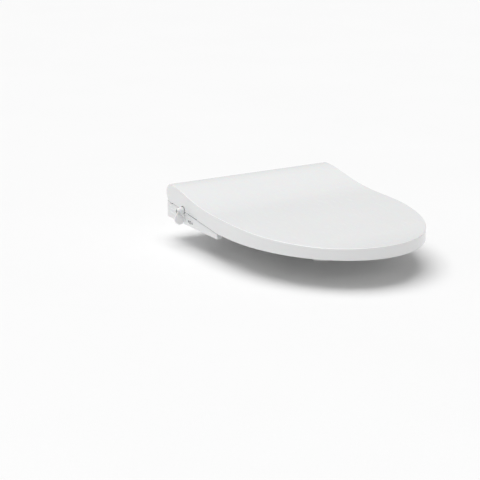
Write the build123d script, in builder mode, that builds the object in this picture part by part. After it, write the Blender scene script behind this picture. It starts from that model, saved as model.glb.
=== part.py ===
from build123d import *
import os
from math import cos, radians, sin, sqrt

# Electric bidet seat with a hand lever: deck bracket, rear unit, seat, lid and two wash nozzles.
# Frame: origin midway between the two fixing bolts on the deck plane, +Z up, front towards -Y,
# +X to the right as seen from the front. All sizes in millimetres.

os.makedirs("parts", exist_ok=True)

# ---------------------------------------------------------------- driving dimensions
WIDTH = 375.0  # widest part of the lid
LENGTH = 498.0  # rear roll to front edge of the lid
NOSE = 250.0  # length of the half-ellipse that forms the front
REAR_TAPER = 3.5  # how much each side draws in towards the rear

AXIS_Y, AXIS_Z = 37.0, 50.0  # common hinge axis of seat and lid
ROLL_R = 19.0  # rolled rear end of the lid
LID_WALL = 3.0
LID_SKIRT_Z = 12.0  # lower edge of the lid in front
LID_RISE_Y = -146.0  # behind this the lower edge rises
ROLL_LOW = -112.0  # angle on the roll where the rising edge meets it
LID_EDGE_R = 1.6  # rounding of the lid's top edge
# Side view of the lid's top: share of the way from the hinge axis to the front edge, height.
LID_TOP = ((0.098, 62.4), (0.203, 51.8), (0.33, 44.7), (0.47, 42.2), (0.64, 38.3), (0.81, 34.9))
LID_FRONT_Z = 34.7

UNIT_FRONT_Y, UNIT_REAR_Y = -78.0, 54.0
UNIT_WALL = 2.5
TRAY_FLOOR = 3.0
SPLIT_Z = 14.0  # joint between base tray and cover
UNDER_LID_GAP = 2.0
PANEL_GAP = 1.7  # gap line between lid edge and side panel
PANEL_WALL = 3.0
PANEL_INSET = 1.5
TROUGH_CLEAR = 1.2
HORN_WIDTH = 9.0  # forward arms of the tray, beside the seat

SHELL_CLEAR = 0.2  # between fixed mouldings
MOVE_CLEAR = 1.5  # between bodies that swing past each other

DISC_WIDTH = 24.0  # solid end of the lid's roll
BOSS_A_WIDTH = 17.0
ARM_WIDTH = 23.0
BOSS_B_WIDTH = 57.0
PIN_R = 4.5
PIN_FIT = 0.06
HUB_R = 12.0
BOSS_R = 14.5
DAMPER_R = 11.0

RING_INSET = 5.0
RING_LOW, RING_TOP = 12.0, 29.5
RING_REAR_Y = -85.0
RING_SHOULDER_Y = -148.0
RING_WALL = 3.0
RING_PLATE = 2.5
OPENING_HALF_X, OPENING_HALF_Y = 108.0, 126.0
OPENING_REAR_Y = -110.0

BOLT_SPACING = 140.0
BOLT_R = 3.0
ANCHOR_R, ANCHOR_DEPTH = 7.0, 40.0
PLATE_HALF_X, PLATE_HALF_Y = 95.0, 30.0
PLATE_TOP = 8.0
PAD_T = 1.5
RAIL_LIP = 7.0  # overhang of the plate's side rails
RAIL_Z = 4.0

LEVER_Y, LEVER_Z = -13.0, 27.5
LEVER_DRUM_R = 7.0
LEVER_TILT = 20.0  # the paddle hangs this far forward of straight down
LEVER_REACH = 16.3
PADDLE_R = 9.5
PADDLE_LONG_R = 10.0
PADDLE_T = 4.0
PADDLE_CLEAR = 1.2  # between the paddle and the lid's side
SPINDLE_R = 3.5
VALVE_R = 13.0
CERAMIC_R = 9.5

NOZZLE_TILT = 20.0
NOZZLE_TIP_Y, NOZZLE_TIP_Z = -74.0, 9.0
NOZZLE_X = 9.0
NOZZLE_R = 5.3
NOZZLE_LENGTH = 84.0
NOZZLE_TIP_LENGTH = 16.0
PISTON_R = 6.2
PISTON_LENGTH = 4.0
HOUSING_FRONT, HOUSING_REAR = 12.0, 91.0  # measured back along the nozzle from its tip
GUIDE_LENGTH = 6.0
HOUSING_HALF_X, HOUSING_HALF_H = 23.0, 9.0

HOSE_R = 2.5
CENTRE_CLEAR = 4.0

# ---------------------------------------------------------------- derived places
REAR_Y = AXIS_Y + ROLL_R
FRONT_Y = REAR_Y - LENGTH
WIDE_Y = FRONT_Y + NOSE
REAR_HALF = WIDTH / 2 - REAR_TAPER


def half_at(y):
    """Half width of the lid at y, behind its widest part."""
    run = REAR_Y - WIDE_Y
    side_r = (run**2 + REAR_TAPER**2) / (2 * REAR_TAPER)
    return WIDTH / 2 - side_r + sqrt(side_r**2 - (y - WIDE_Y) ** 2)


TROUGH_R = ROLL_R + TROUGH_CLEAR
TALL = AXIS_Z + ROLL_R + 10

DISC_X = REAR_HALF - DISC_WIDTH  # inner face of the lid's end disc
BOSS_A_OUT = DISC_X - MOVE_CLEAR
BOSS_A_IN = BOSS_A_OUT - BOSS_A_WIDTH
ARM_OUT = BOSS_A_IN - MOVE_CLEAR
ARM_IN = ARM_OUT - ARM_WIDTH
BOSS_B_OUT = ARM_IN - MOVE_CLEAR
BOSS_B_IN = BOSS_B_OUT - BOSS_B_WIDTH
SLOT_OUT, SLOT_IN = BOSS_A_IN, BOSS_B_OUT
LEVER_FACE = half_at(LEVER_Y) - PANEL_INSET  # outer face of the side panel at the lever
COLLAR_T = 1.0
BODY_INSET = PANEL_INSET + PANEL_WALL + SHELL_CLEAR
SIDE_OUT = REAR_HALF - BODY_INSET - UNIT_WALL  # side compartment, outer limit
SIDE_IN = SLOT_OUT + UNIT_WALL  # side compartment, inner limit
BAY_OUT = SLOT_IN - UNIT_WALL  # centre bays beside the nozzles, outer limit
BAY_IN = HOUSING_HALF_X + 2 * CENTRE_CLEAR
TROUGH_FRONT_Y = AXIS_Y - ROLL_R
BORE_R = PIN_R + PIN_FIT
RECESS_TOP = PLATE_TOP + 0.6
RAISED_TOP = RECESS_TOP + UNIT_WALL
OPENING_Y = OPENING_REAR_Y - OPENING_HALF_Y


def side_sign(side):
    """Word for a side: the user's right is at -X."""
    return "right" if side < 0 else "left"


# ---------------------------------------------------------------- shared shapes
def plan_prism(inset, low, high):
    """Upright block with the lid's plan shape, drawn in by inset."""
    half, front = WIDTH / 2 - inset, NOSE - inset
    rear_half = half - REAR_TAPER
    with BuildPart() as block:
        with BuildSketch(Plane.XY.offset(low)):
            with BuildLine():
                EllipticalCenterArc((0, WIDE_Y), half, front, start_angle=180, arc_size=180)
                TangentArc((half, WIDE_Y), (rear_half, REAR_Y), tangent=(0, 1))
                TangentArc((-half, WIDE_Y), (-rear_half, REAR_Y), tangent=(0, 1))
                Line((rear_half, REAR_Y), (-rear_half, REAR_Y))
            make_face()
        extrude(amount=high - low)
    return block.part


def top_line(drop):
    """Side view of the lid's top surface, lowered by drop, from the hinge axis to the front."""
    run = AXIS_Y - FRONT_Y
    points = [(AXIS_Y, AXIS_Z + ROLL_R - drop)]
    points += [(AXIS_Y - share * run, height - drop) for share, height in LID_TOP]
    points += [(FRONT_Y, LID_FRONT_Z - drop)]
    return points


def edge_height(y):
    """Height of the lid's rising lower edge at y."""
    low_y = AXIS_Y + ROLL_R * cos(radians(ROLL_LOW))
    low_z = AXIS_Z + ROLL_R * sin(radians(ROLL_LOW))
    return LID_SKIRT_Z + (low_z - LID_SKIRT_Z) * (LID_RISE_Y - y) / (LID_RISE_Y - low_y)


def across(section, low_x, high_x):
    """Block with the given side view (y, z) between two x stations."""
    with BuildPart() as block:
        with BuildSketch(Plane.YZ.offset(low_x)):
            add(section)
        extrude(amount=high_x - low_x)
    return block.part


def lid_section():
    """Side view of the closed lid: top curve, front edge, skirt, rising edge and rear roll."""
    with BuildSketch() as section:
        with BuildLine():
            top = top_line(0)
            Spline(top, tangents=((-1, 0), (-1, 0.04)))
            roll = CenterArc((AXIS_Y, AXIS_Z), ROLL_R, 90, ROLL_LOW - 90)
            Polyline(roll @ 1, (LID_RISE_Y, LID_SKIRT_Z), (FRONT_Y, LID_SKIRT_Z), top[-1])
        make_face()
    return section.sketch


def under_top(drop):
    """Everything below the lid's top curve lowered by drop, in side view."""
    with BuildSketch() as section:
        with BuildLine():
            top = top_line(drop)
            Spline(top, tangents=((-1, 0), (-1, 0.04)))
            Polyline(
                top[-1], (FRONT_Y, -TALL), (REAR_Y + 20, -TALL), (REAR_Y + 20, top[0][1]), top[0]
            )
        make_face()
    return section.sketch


def unit_section(inset):
    """Side view of the rear unit drawn in by inset, with the trough under the lid's roll."""
    front, rear = UNIT_FRONT_Y + inset, UNIT_REAR_Y - inset
    wall = TROUGH_FRONT_Y - inset
    with BuildSketch() as section:
        add(under_top(LID_WALL + UNDER_LID_GAP + inset))
        with Locations(((front + rear) / 2, 0)):
            Rectangle(rear - front, 2 * TALL, mode=Mode.INTERSECT)
        with Locations((AXIS_Y, AXIS_Z)):
            Circle(TROUGH_R + inset, mode=Mode.SUBTRACT)
            Rectangle(2 * ROLL_R, TALL, align=(Align.CENTER, Align.MIN), mode=Mode.SUBTRACT)
        with Locations((AXIS_Y, AXIS_Z - TROUGH_R / 2)):
            Rectangle(
                2 * TROUGH_R, TALL, align=(Align.MIN, Align.MIN), mode=Mode.SUBTRACT
            )
        with Locations((wall, AXIS_Z - TROUGH_R / 3)):
            Rectangle(TROUGH_R, TALL, align=(Align.MIN, Align.MIN), mode=Mode.SUBTRACT)
    return section.sketch


def box(x0, x1, y0, y1, z0, z1):
    """Plain block between two corners."""
    with BuildPart() as block:
        with Locations(((x0 + x1) / 2, (y0 + y1) / 2, (z0 + z1) / 2)):
            Box(abs(x1 - x0), y1 - y0, z1 - z0)
    return block.part


def bar(x0, x1, y, z, radius):
    """Round bar along X."""
    with BuildPart() as rod:
        with BuildSketch(Plane.YZ.offset(x0)):
            with Locations((y, z)):
                Circle(radius)
        extrude(amount=x1 - x0)
    return rod.part


def along(x, y0, y1, z, radius):
    """Round bar along Y."""
    with BuildPart() as rod:
        with BuildSketch(Plane.XZ.offset(-y1)):
            with Locations((x, z)):
                Circle(radius)
        extrude(amount=y1 - y0)
    return rod.part


def post(x, y, z0, z1, radius):
    """Round bar along Z."""
    with BuildPart() as rod:
        with BuildSketch(Plane.XY.offset(z0)):
            with Locations((x, y)):
                Circle(radius)
        extrude(amount=z1 - z0)
    return rod.part


def finish_part(builder, label):
    """Name the piece and write it to its own file."""
    builder.part.label = label
    export_step(builder.part, f"parts/{label}.step")


# ================================================================ deck bracket
BOLT_XS = (-BOLT_SPACING / 2, BOLT_SPACING / 2)
BLOCK_LOW = PLATE_TOP - 4.5
BLOCK_T = 2.0
HEAD_R, HEAD_T = 5.5, 2.3

with BuildPart() as deck_pad:
    with BuildSketch():
        RectangleRounded(2 * (PLATE_HALF_X - RAIL_LIP) - 4, 2 * PLATE_HALF_Y - 4, 6)
        with Locations(*[(x, 0) for x in BOLT_XS]):
            Circle(ANCHOR_R + 1, mode=Mode.SUBTRACT)
    extrude(amount=PAD_T)
finish_part(deck_pad, "deck_pad")

with BuildPart() as mounting_plate:
    with BuildSketch(Plane.XY.offset(PAD_T)):
        Rectangle(2 * (PLATE_HALF_X - RAIL_LIP), 2 * PLATE_HALF_Y)
    extrude(amount=RAIL_Z - PAD_T)
    with BuildSketch(Plane.XY.offset(RAIL_Z)):
        Rectangle(2 * PLATE_HALF_X, 2 * PLATE_HALF_Y)
    extrude(amount=PLATE_TOP - RAIL_Z)
    with BuildSketch(Plane.XY.offset(BLOCK_LOW)):
        with Locations(*[(x, 0) for x in BOLT_XS]):
            SlotOverall(44, 18, rotation=90)
    extrude(amount=PLATE_TOP - BLOCK_LOW, mode=Mode.SUBTRACT)
    with BuildSketch(Plane.XY.offset(PAD_T)):
        with Locations(*[(x, 0) for x in BOLT_XS]):
            SlotOverall(34, 9, rotation=90)
    extrude(amount=PLATE_TOP, mode=Mode.SUBTRACT)
    # Sloped slot for the latch hook: the hook moves inwards as the unit is drawn forwards.
    LATCH_TRAVEL, SLIDE_TRAVEL = 4.0, 50.0
    LATCH_X = PLATE_HALF_X - 10.0
    LATCH_SLOPE = LATCH_TRAVEL / SLIDE_TRAVEL
    LATCH_HALF, LATCH_GAP = 2.5, 0.5
    slot_half = LATCH_HALF + LATCH_GAP
    slot_run = PLATE_HALF_Y + 12
    with BuildSketch(Plane.XY.offset(PLATE_TOP - 3)):
        with BuildLine():
            Polyline(
                (LATCH_X - slot_half, slot_half),
                (LATCH_X + slot_half, slot_half),
                (LATCH_X + slot_half, -slot_half),
                (LATCH_X + slot_half - LATCH_SLOPE * slot_run, -slot_half - slot_run),
                (LATCH_X - slot_half - LATCH_SLOPE * (slot_run + 2 * slot_half), -slot_half - slot_run),
                close=True,
            )
        make_face()
    extrude(amount=6, mode=Mode.SUBTRACT)
finish_part(mounting_plate, "mounting_plate")

with BuildPart() as adjuster_blocks:
    with BuildSketch(Plane.XY.offset(BLOCK_LOW)):
        with Locations(*[(x, 0) for x in BOLT_XS]):
            SlotOverall(30, 17.4, rotation=90)
            Circle(BOLT_R + 0.1, mode=Mode.SUBTRACT)
    extrude(amount=BLOCK_T)
finish_part(adjuster_blocks, "adjuster_blocks")

HEAD_LOW = BLOCK_LOW + BLOCK_T
with BuildPart() as fixing_bolts:
    for x in BOLT_XS:
        add(post(x, 0, -ANCHOR_DEPTH - 3, HEAD_LOW, BOLT_R))
        add(post(x, 0, HEAD_LOW, HEAD_LOW + HEAD_T, HEAD_R))
    with BuildSketch(Plane.XY.offset(HEAD_LOW + HEAD_T)):
        with Locations(*[(x, 0) for x in BOLT_XS]):
            Rectangle(7.5, 1.2)
            Rectangle(1.2, 7.5)
    extrude(amount=-1.2, mode=Mode.SUBTRACT)
finish_part(fixing_bolts, "fixing_bolts")

with BuildPart() as expansion_anchors:
    for x in BOLT_XS:
        add(post(x, 0, -ANCHOR_DEPTH, 0, ANCHOR_R))
        add(post(x, 0, -ANCHOR_DEPTH, 0, BOLT_R + 0.05), mode=Mode.SUBTRACT)
finish_part(expansion_anchors, "expansion_anchors")

# ================================================================ base tray
RECESS_HALF = PLATE_HALF_X + 1.0
LIP_HALF = PLATE_HALF_X - RAIL_LIP + 1.0
RECESS_FRONT = -PLATE_HALF_Y - 1.0
BRIDGE_T = 2.0
NOZZLE_GATE_HALF, NOZZLE_GATE_TOP = 21.0, 20.0
BUTTON_Y, BUTTON_Z = 0.0, RAIL_Z + 2.2
BUTTON_R, BUTTON_CAP_R = 1.8, 4.8  # pin, and the cap that a finger presses
BUTTON_CAP_Z = BUTTON_Z + 1.6
INLET_X, INLET_Z = (SIDE_IN + SIDE_OUT) / 2, 17.0
INLET_NECK_R, INLET_THREAD_R = 8.0, 10.4
GLAND_X, GLAND_Z = 75.0, 20.0
GLAND_R, GLAND_BORE_R = 5.5, 3.6
FOOT_R, FOOT_T = 7.0, 0.8
FOOT_PLACES = [(side * INLET_X, y) for side in (-1, 1) for y in (-66.0, 40.0)]
SCREW_R, SCREW_HEAD_R, SCREW_HEAD_T = 1.5, 3.0, 1.6
SCREW_POST_R = 4.0
SCREW_X = BAY_OUT - 7.0
SCREW_PLACES = [(side * SCREW_X, y) for side in (-1, 1) for y in (-68.0, 45.0)]


def arm_slot_blocks(low):
    """Pair of blocks where the walls beside the seat arms stay solid."""
    with BuildPart() as blocks:
        for side in (-1, 1):
            x0, x1 = sorted((side * (SLOT_IN - UNIT_WALL), side * (SLOT_OUT + UNIT_WALL)))
            add(box(x0, x1, UNIT_FRONT_Y - 5, UNIT_REAR_Y + 5, low, TALL))
    return blocks.part


def tray_hollow():
    """Inside of the tray, with bridges left under the seat arms."""
    with BuildPart() as hollow:
        add(plan_prism(BODY_INSET + UNIT_WALL, TRAY_FLOOR, SPLIT_Z + 1))
        add(across(unit_section(UNIT_WALL), -WIDTH, WIDTH), mode=Mode.INTERSECT)
        add(arm_slot_blocks(SPLIT_Z - BRIDGE_T), mode=Mode.SUBTRACT)
    return hollow.part


def tray_horns():
    """The tray's two forward arms, below the lid's rising edge."""
    front, rear = LID_RISE_Y + 4.0, UNIT_FRONT_Y
    with BuildSketch() as side_view:
        with BuildLine():
            Polyline(
                (front, 0.0),
                (front, edge_height(front) - PANEL_GAP),
                (rear, edge_height(rear) - PANEL_GAP),
                (rear, 0.0),
                close=True,
            )
        make_face()
    with BuildPart() as horns:
        add(plan_prism(BODY_INSET, 0, TALL))
        add(plan_prism(BODY_INSET + HORN_WIDTH, 0, TALL), mode=Mode.SUBTRACT)
        add(across(side_view.sketch, -WIDTH, WIDTH), mode=Mode.INTERSECT)
    return horns.part



with BuildPart() as base_tray:
    add(plan_prism(BODY_INSET, 0, SPLIT_Z))
    add(across(unit_section(0), -WIDTH, WIDTH), mode=Mode.INTERSECT)
    add(tray_hollow(), mode=Mode.SUBTRACT)
    # raised floor over the mounting plate, open to the rear and to the deck
    raised = RECESS_HALF + UNIT_WALL
    add(box(-raised, raised, RECESS_FRONT - UNIT_WALL, UNIT_REAR_Y - 1, 0.5, RAISED_TOP))
    add(
        box(-RECESS_HALF, RECESS_HALF, RECESS_FRONT, UNIT_REAR_Y + 5, RAIL_Z - 0.4, RECESS_TOP),
        mode=Mode.SUBTRACT,
    )
    add(
        box(-LIP_HALF, LIP_HALF, RECESS_FRONT, UNIT_REAR_Y + 5, -5, RAIL_Z),
        mode=Mode.SUBTRACT,
    )
    # gate for the nozzles in the front wall
    add(
        box(-NOZZLE_GATE_HALF, NOZZLE_GATE_HALF, UNIT_FRONT_Y - 5, UNIT_FRONT_Y + UNIT_WALL + 1,
            TRAY_FLOOR, TALL),
        mode=Mode.SUBTRACT,
    )
    add(
        box(-NOZZLE_GATE_HALF, NOZZLE_GATE_HALF, UNIT_FRONT_Y - 5, UNIT_FRONT_Y + 8, -5, 20),
        mode=Mode.SUBTRACT,
    )
    # horns beside the seat, below the lid's rising edge
    add(tray_horns())
    # bore for the release button in the +X wall, and the hook's slot in the raised floor
    add(
        bar(SIDE_OUT - 2, WIDTH / 2, BUTTON_Y, BUTTON_CAP_Z, BUTTON_CAP_R + 0.3),
        mode=Mode.SUBTRACT,
    )
    add(
        box(LATCH_X - LATCH_HALF - LATCH_TRAVEL - LATCH_GAP, LATCH_X + LATCH_HALF + LATCH_GAP,
            BUTTON_Y - LATCH_HALF - LATCH_GAP, BUTTON_Y + LATCH_HALF + LATCH_GAP,
            RECESS_TOP - 1, RAISED_TOP + 1),
        mode=Mode.SUBTRACT,
    )
    for x, y in FOOT_PLACES:
        add(post(x, y, -1, FOOT_T, FOOT_R + 0.2), mode=Mode.SUBTRACT)
    for x, y in SCREW_PLACES:
        add(post(x, y, 1.0, SPLIT_Z, SCREW_POST_R))
        add(post(x, y, -1, SPLIT_Z + 1, SCREW_R + 0.2), mode=Mode.SUBTRACT)
        add(post(x, y, -1, SCREW_HEAD_T + 0.4, SCREW_HEAD_R + 0.3), mode=Mode.SUBTRACT)
    for x, z, radius in ((INLET_X, INLET_Z, INLET_NECK_R), (GLAND_X, GLAND_Z, GLAND_R)):
        add(along(x, UNIT_REAR_Y - 2 * UNIT_WALL, UNIT_REAR_Y + 1, z, radius + 0.1), mode=Mode.SUBTRACT)
finish_part(base_tray, "base_tray")

# ================================================================ cover with hinge bosses
WEB_HALF = 9.5


def cover_hollow():
    """Inside of the cover: a centre bay and two side bays, apart from the arm slots."""
    with BuildPart() as hollow:
        add(plan_prism(BODY_INSET + UNIT_WALL, SPLIT_Z - 1, TALL))
        add(across(unit_section(UNIT_WALL), -WIDTH, WIDTH), mode=Mode.INTERSECT)
        add(arm_slot_blocks(SPLIT_Z - 2), mode=Mode.SUBTRACT)
    return hollow.part


def screw_post(x, y):
    """Screw post from the joint up to the inside of the cover."""
    with BuildPart() as piece:
        add(post(x, y, SPLIT_Z, TALL, SCREW_POST_R))
        add(across(unit_section(UNIT_WALL / 2), -WIDTH, WIDTH), mode=Mode.INTERSECT)
    return piece.part


def boss(side, inner, outer, radius):
    """Hinge boss along X with the web that carries it from the trough's front wall."""
    x0, x1 = sorted((side * inner, side * outer))
    with BuildPart() as piece:
        add(bar(x0, x1, AXIS_Y, AXIS_Z, radius))
        add(box(x0, x1, TROUGH_FRONT_Y - 1, AXIS_Y, AXIS_Z - WEB_HALF, AXIS_Z + WEB_HALF))
    return piece.part


with BuildPart() as unit_cover:
    add(plan_prism(BODY_INSET, SPLIT_Z, TALL))
    add(across(unit_section(0), -WIDTH, WIDTH), mode=Mode.INTERSECT)
    add(cover_hollow(), mode=Mode.SUBTRACT)
    for side in (-1, 1):
        x0, x1 = sorted((side * SLOT_IN, side * SLOT_OUT))
        add(
            box(x0, x1, UNIT_FRONT_Y - 5, AXIS_Y - 8, SPLIT_Z - 1, TALL),
            mode=Mode.SUBTRACT,
        )
        add(boss(side, BOSS_A_IN, BOSS_A_OUT, HUB_R + 1))
        add(boss(side, BOSS_B_IN, BOSS_B_OUT, BOSS_R))
        x0, x1 = sorted((side * (BOSS_B_IN + 4), side * BOSS_B_OUT))
        add(bar(x0, x1, AXIS_Y, AXIS_Z, DAMPER_R + 0.05), mode=Mode.SUBTRACT)
        x0, x1 = sorted((side * (BOSS_A_IN - 1), side * (BOSS_A_OUT + 1)))
        add(bar(x0, x1, AXIS_Y, AXIS_Z, BORE_R), mode=Mode.SUBTRACT)
    add(
        box(-NOZZLE_GATE_HALF, NOZZLE_GATE_HALF, UNIT_FRONT_Y - 5, UNIT_FRONT_Y + UNIT_WALL + 1,
            0, NOZZLE_GATE_TOP),
        mode=Mode.SUBTRACT,
    )
    for x, y in SCREW_PLACES:
        add(screw_post(x, y))
        add(post(x, y, SPLIT_Z - 1, SPLIT_Z + 9, SCREW_R), mode=Mode.SUBTRACT)
    for x, z, radius in ((INLET_X, INLET_Z, INLET_NECK_R), (GLAND_X, GLAND_Z, GLAND_R)):
        add(along(x, UNIT_REAR_Y - 2 * UNIT_WALL, UNIT_REAR_Y + 1, z, radius + 0.1), mode=Mode.SUBTRACT)
    # hole for the lever spindle's gland in the right wall
    add(
        bar(-WIDTH / 2, -SIDE_OUT + 1, LEVER_Y, LEVER_Z, LEVER_DRUM_R - 2),
        mode=Mode.SUBTRACT,
    )
finish_part(unit_cover, "unit_cover")

# ================================================================ side panels
PANEL_FRONT_Y = LID_RISE_Y + 2.0
PANEL_LOW = 0.6


def panel_side():
    """Side view of a side panel: below the lid's rising edge and clear of the roll."""
    with BuildSketch() as section:
        with BuildLine():
            rear = UNIT_REAR_Y
            Polyline(
                (PANEL_FRONT_Y, PANEL_LOW),
                (PANEL_FRONT_Y, edge_height(PANEL_FRONT_Y) - PANEL_GAP),
                (rear, edge_height(rear) - PANEL_GAP),
                (rear, PANEL_LOW),
                close=True,
            )
        make_face()
        with Locations((AXIS_Y, AXIS_Z)):
            Circle(TROUGH_R, mode=Mode.SUBTRACT)
    return section.sketch


for side in (-1, 1):
    with BuildPart() as side_panel:
        add(plan_prism(PANEL_INSET, 0, TALL))
        add(plan_prism(PANEL_INSET + PANEL_WALL, -1, TALL + 1), mode=Mode.SUBTRACT)
        x0, x1 = sorted((side * SLOT_OUT, side * WIDTH))
        add(across(panel_side(), x0, x1), mode=Mode.INTERSECT)
        if side < 0:
            # raised collar round the lever drum, and the hole through it
            add(bar(-LEVER_FACE - COLLAR_T, -LEVER_FACE + 1, LEVER_Y, LEVER_Z, LEVER_DRUM_R - 1.5))
            add(
                bar(-WIDTH / 2, -SIDE_OUT, LEVER_Y, LEVER_Z, SPINDLE_R + 0.3),
                mode=Mode.SUBTRACT,
            )
        else:
            add(
                bar(SIDE_OUT, WIDTH / 2, BUTTON_Y, BUTTON_CAP_Z, BUTTON_CAP_R + 0.3),
                mode=Mode.SUBTRACT,
            )
    finish_part(side_panel, f"side_panel_{side_sign(side)}")

# Plain raised marks beside the lever: a ring for off, and a triangle for each wash position.
MARK_Y = -40.0
MARK_T = 0.35
with BuildPart() as lever_marks:
    with BuildSketch(Plane.YZ.offset(-WIDTH / 2)):
        with Locations((MARK_Y, 9.0)):
            Circle(3.2)
            Circle(2.2, mode=Mode.SUBTRACT)
        with Locations((MARK_Y - 7.5, 8.5)):
            RegularPolygon(2.8, 3, rotation=90)
        with Locations((MARK_Y + 6.5, 10.0)):
            RegularPolygon(2.8, 3, rotation=30)
    extrude(amount=12)
    add(plan_prism(PANEL_INSET - MARK_T, 0, TALL), mode=Mode.INTERSECT)
    add(plan_prism(PANEL_INSET, -1, TALL + 1), mode=Mode.SUBTRACT)
finish_part(lever_marks, "lever_marks")

# ================================================================ unit feet and case screws
with BuildPart() as unit_feet:
    for x, y in FOOT_PLACES:
        add(post(x, y, 0, FOOT_T, FOOT_R))
finish_part(unit_feet, "unit_feet")

with BuildPart() as case_screws:
    for x, y in SCREW_PLACES:
        add(post(x, y, 0.2, SPLIT_Z + 8.5, SCREW_R))
        add(post(x, y, 0.2, SCREW_HEAD_T + 0.2, SCREW_HEAD_R))
finish_part(case_screws, "case_screws")

# ================================================================ release button and latch hook
LATCH_BAR_T = 2.0
LATCH_TAB_X = RECESS_HALF + UNIT_WALL + LATCH_TRAVEL + 1.0
LATCH_BAR_LOW = RAISED_TOP + 0.4
BUTTON_FACE = half_at(BUTTON_Y) + 1.0
BUTTON_CAP_IN = SIDE_OUT + LATCH_TRAVEL + 0.4
with BuildPart() as release_button:
    add(bar(LATCH_TAB_X + 1, BUTTON_FACE - 1, BUTTON_Y, BUTTON_Z, BUTTON_R))
    add(bar(BUTTON_CAP_IN, BUTTON_FACE, BUTTON_Y, BUTTON_CAP_Z, BUTTON_CAP_R))
    chamfer(release_button.edges().group_by(Axis.X)[-1], 0.6)
    add(box(LATCH_TAB_X, LATCH_TAB_X + 3, BUTTON_Y - 2, BUTTON_Y + 2, BUTTON_Z - BUTTON_R,
            LATCH_BAR_LOW + LATCH_BAR_T))
    add(box(LATCH_X - LATCH_HALF, LATCH_TAB_X + 1, BUTTON_Y - 2, BUTTON_Y + 2, LATCH_BAR_LOW,
            LATCH_BAR_LOW + LATCH_BAR_T))
    add(box(LATCH_X - LATCH_HALF, LATCH_X + LATCH_HALF, BUTTON_Y - LATCH_HALF,
            BUTTON_Y + LATCH_HALF, PLATE_TOP - 2.4, LATCH_BAR_LOW + 1))
finish_part(release_button, "release_button")

# ================================================================ water path: inlet to heater
THREAD_LENGTH = 12.0
INLET_BORE_R = 6.5
FLANGE_R = 10.6
TRAIN_R = 8.0
SOLENOID_HALF_X = 12.0
COIL_Y, COIL_R, COIL_TOP = 4.0, 9.0, 44.0
PLUNGER_R, PLUNGER_TRAVEL = 4.0, 2.0
FITTING_FRONT_Y, SOLENOID_FRONT_Y, SENSOR_FRONT_Y = 31.0, -7.0, -28.0
TRAIN_LOW = INLET_Z - TRAIN_R

with BuildPart() as inlet_fitting:
    thread_y = UNIT_REAR_Y + 0.5
    add(along(INLET_X, thread_y, thread_y + THREAD_LENGTH, INLET_Z, INLET_THREAD_R))
    add(along(INLET_X, UNIT_REAR_Y - UNIT_WALL - 0.3, thread_y, INLET_Z, INLET_NECK_R))
    add(along(INLET_X, UNIT_REAR_Y - UNIT_WALL - 5, UNIT_REAR_Y - UNIT_WALL - 0.3, INLET_Z, FLANGE_R))
    add(along(INLET_X, FITTING_FRONT_Y, UNIT_REAR_Y - UNIT_WALL - 5, INLET_Z, TRAIN_R))
    add(along(INLET_X, thread_y, thread_y + THREAD_LENGTH + 1, INLET_Z, INLET_BORE_R), mode=Mode.SUBTRACT)
    add(along(INLET_X, FITTING_FRONT_Y - 1, thread_y + 1, INLET_Z, 4.0), mode=Mode.SUBTRACT)
finish_part(inlet_fitting, "inlet_fitting")

with BuildPart() as inlet_strainer:
    add(along(INLET_X, thread_y + 1, thread_y + THREAD_LENGTH - 1, INLET_Z, INLET_BORE_R - 0.2))
    add(
        along(INLET_X, thread_y + 2.5, thread_y + THREAD_LENGTH, INLET_Z, INLET_BORE_R - 1.4),
        mode=Mode.SUBTRACT,
    )
    with BuildSketch(Plane.XZ.offset(-thread_y - 4)):
        with Locations((INLET_X, INLET_Z)):
            with GridLocations(2.6, 2.6, 3, 3):
                Circle(0.8)
    extrude(amount=6, mode=Mode.SUBTRACT)
finish_part(inlet_strainer, "inlet_strainer")

with BuildPart() as solenoid_valve:
    add(box(INLET_X - SOLENOID_HALF_X, INLET_X + SOLENOID_HALF_X, SOLENOID_FRONT_Y,
            FITTING_FRONT_Y - 0.2, TRAIN_LOW, INLET_Z + TRAIN_R))
    add(post(INLET_X, COIL_Y, INLET_Z + TRAIN_R, COIL_TOP, COIL_R))
    add(along(INLET_X, SOLENOID_FRONT_Y - 1, FITTING_FRONT_Y, INLET_Z, 4.0), mode=Mode.SUBTRACT)
    add(post(INLET_X, COIL_Y, INLET_Z, COIL_TOP - 2, PLUNGER_R + 0.06), mode=Mode.SUBTRACT)
finish_part(solenoid_valve, "solenoid_valve")

with BuildPart() as solenoid_plunger:
    low = INLET_Z + 1.0
    add(post(INLET_X, COIL_Y, low, COIL_TOP - 3 - PLUNGER_TRAVEL, PLUNGER_R))
    chamfer(solenoid_plunger.edges().group_by(Axis.Z)[0], 0.6)
finish_part(solenoid_plunger, "solenoid_plunger")

with BuildPart() as flow_sensor_housing:
    add(along(INLET_X, SENSOR_FRONT_Y, SOLENOID_FRONT_Y - 0.2, INLET_Z, TRAIN_R))
    add(along(INLET_X, SENSOR_FRONT_Y - 7, SENSOR_FRONT_Y, INLET_Z, 1.7))
    add(along(INLET_X, SENSOR_FRONT_Y + 3, SOLENOID_FRONT_Y - 3, INLET_Z, TRAIN_R - 1.5), mode=Mode.SUBTRACT)
    add(along(INLET_X, SOLENOID_FRONT_Y - 4, SOLENOID_FRONT_Y + 1, INLET_Z, 3.5), mode=Mode.SUBTRACT)
    add(along(INLET_X, SENSOR_FRONT_Y - 8, SENSOR_FRONT_Y + 4, INLET_Z, 1.0), mode=Mode.SUBTRACT)
finish_part(flow_sensor_housing, "flow_sensor_housing")

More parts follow.
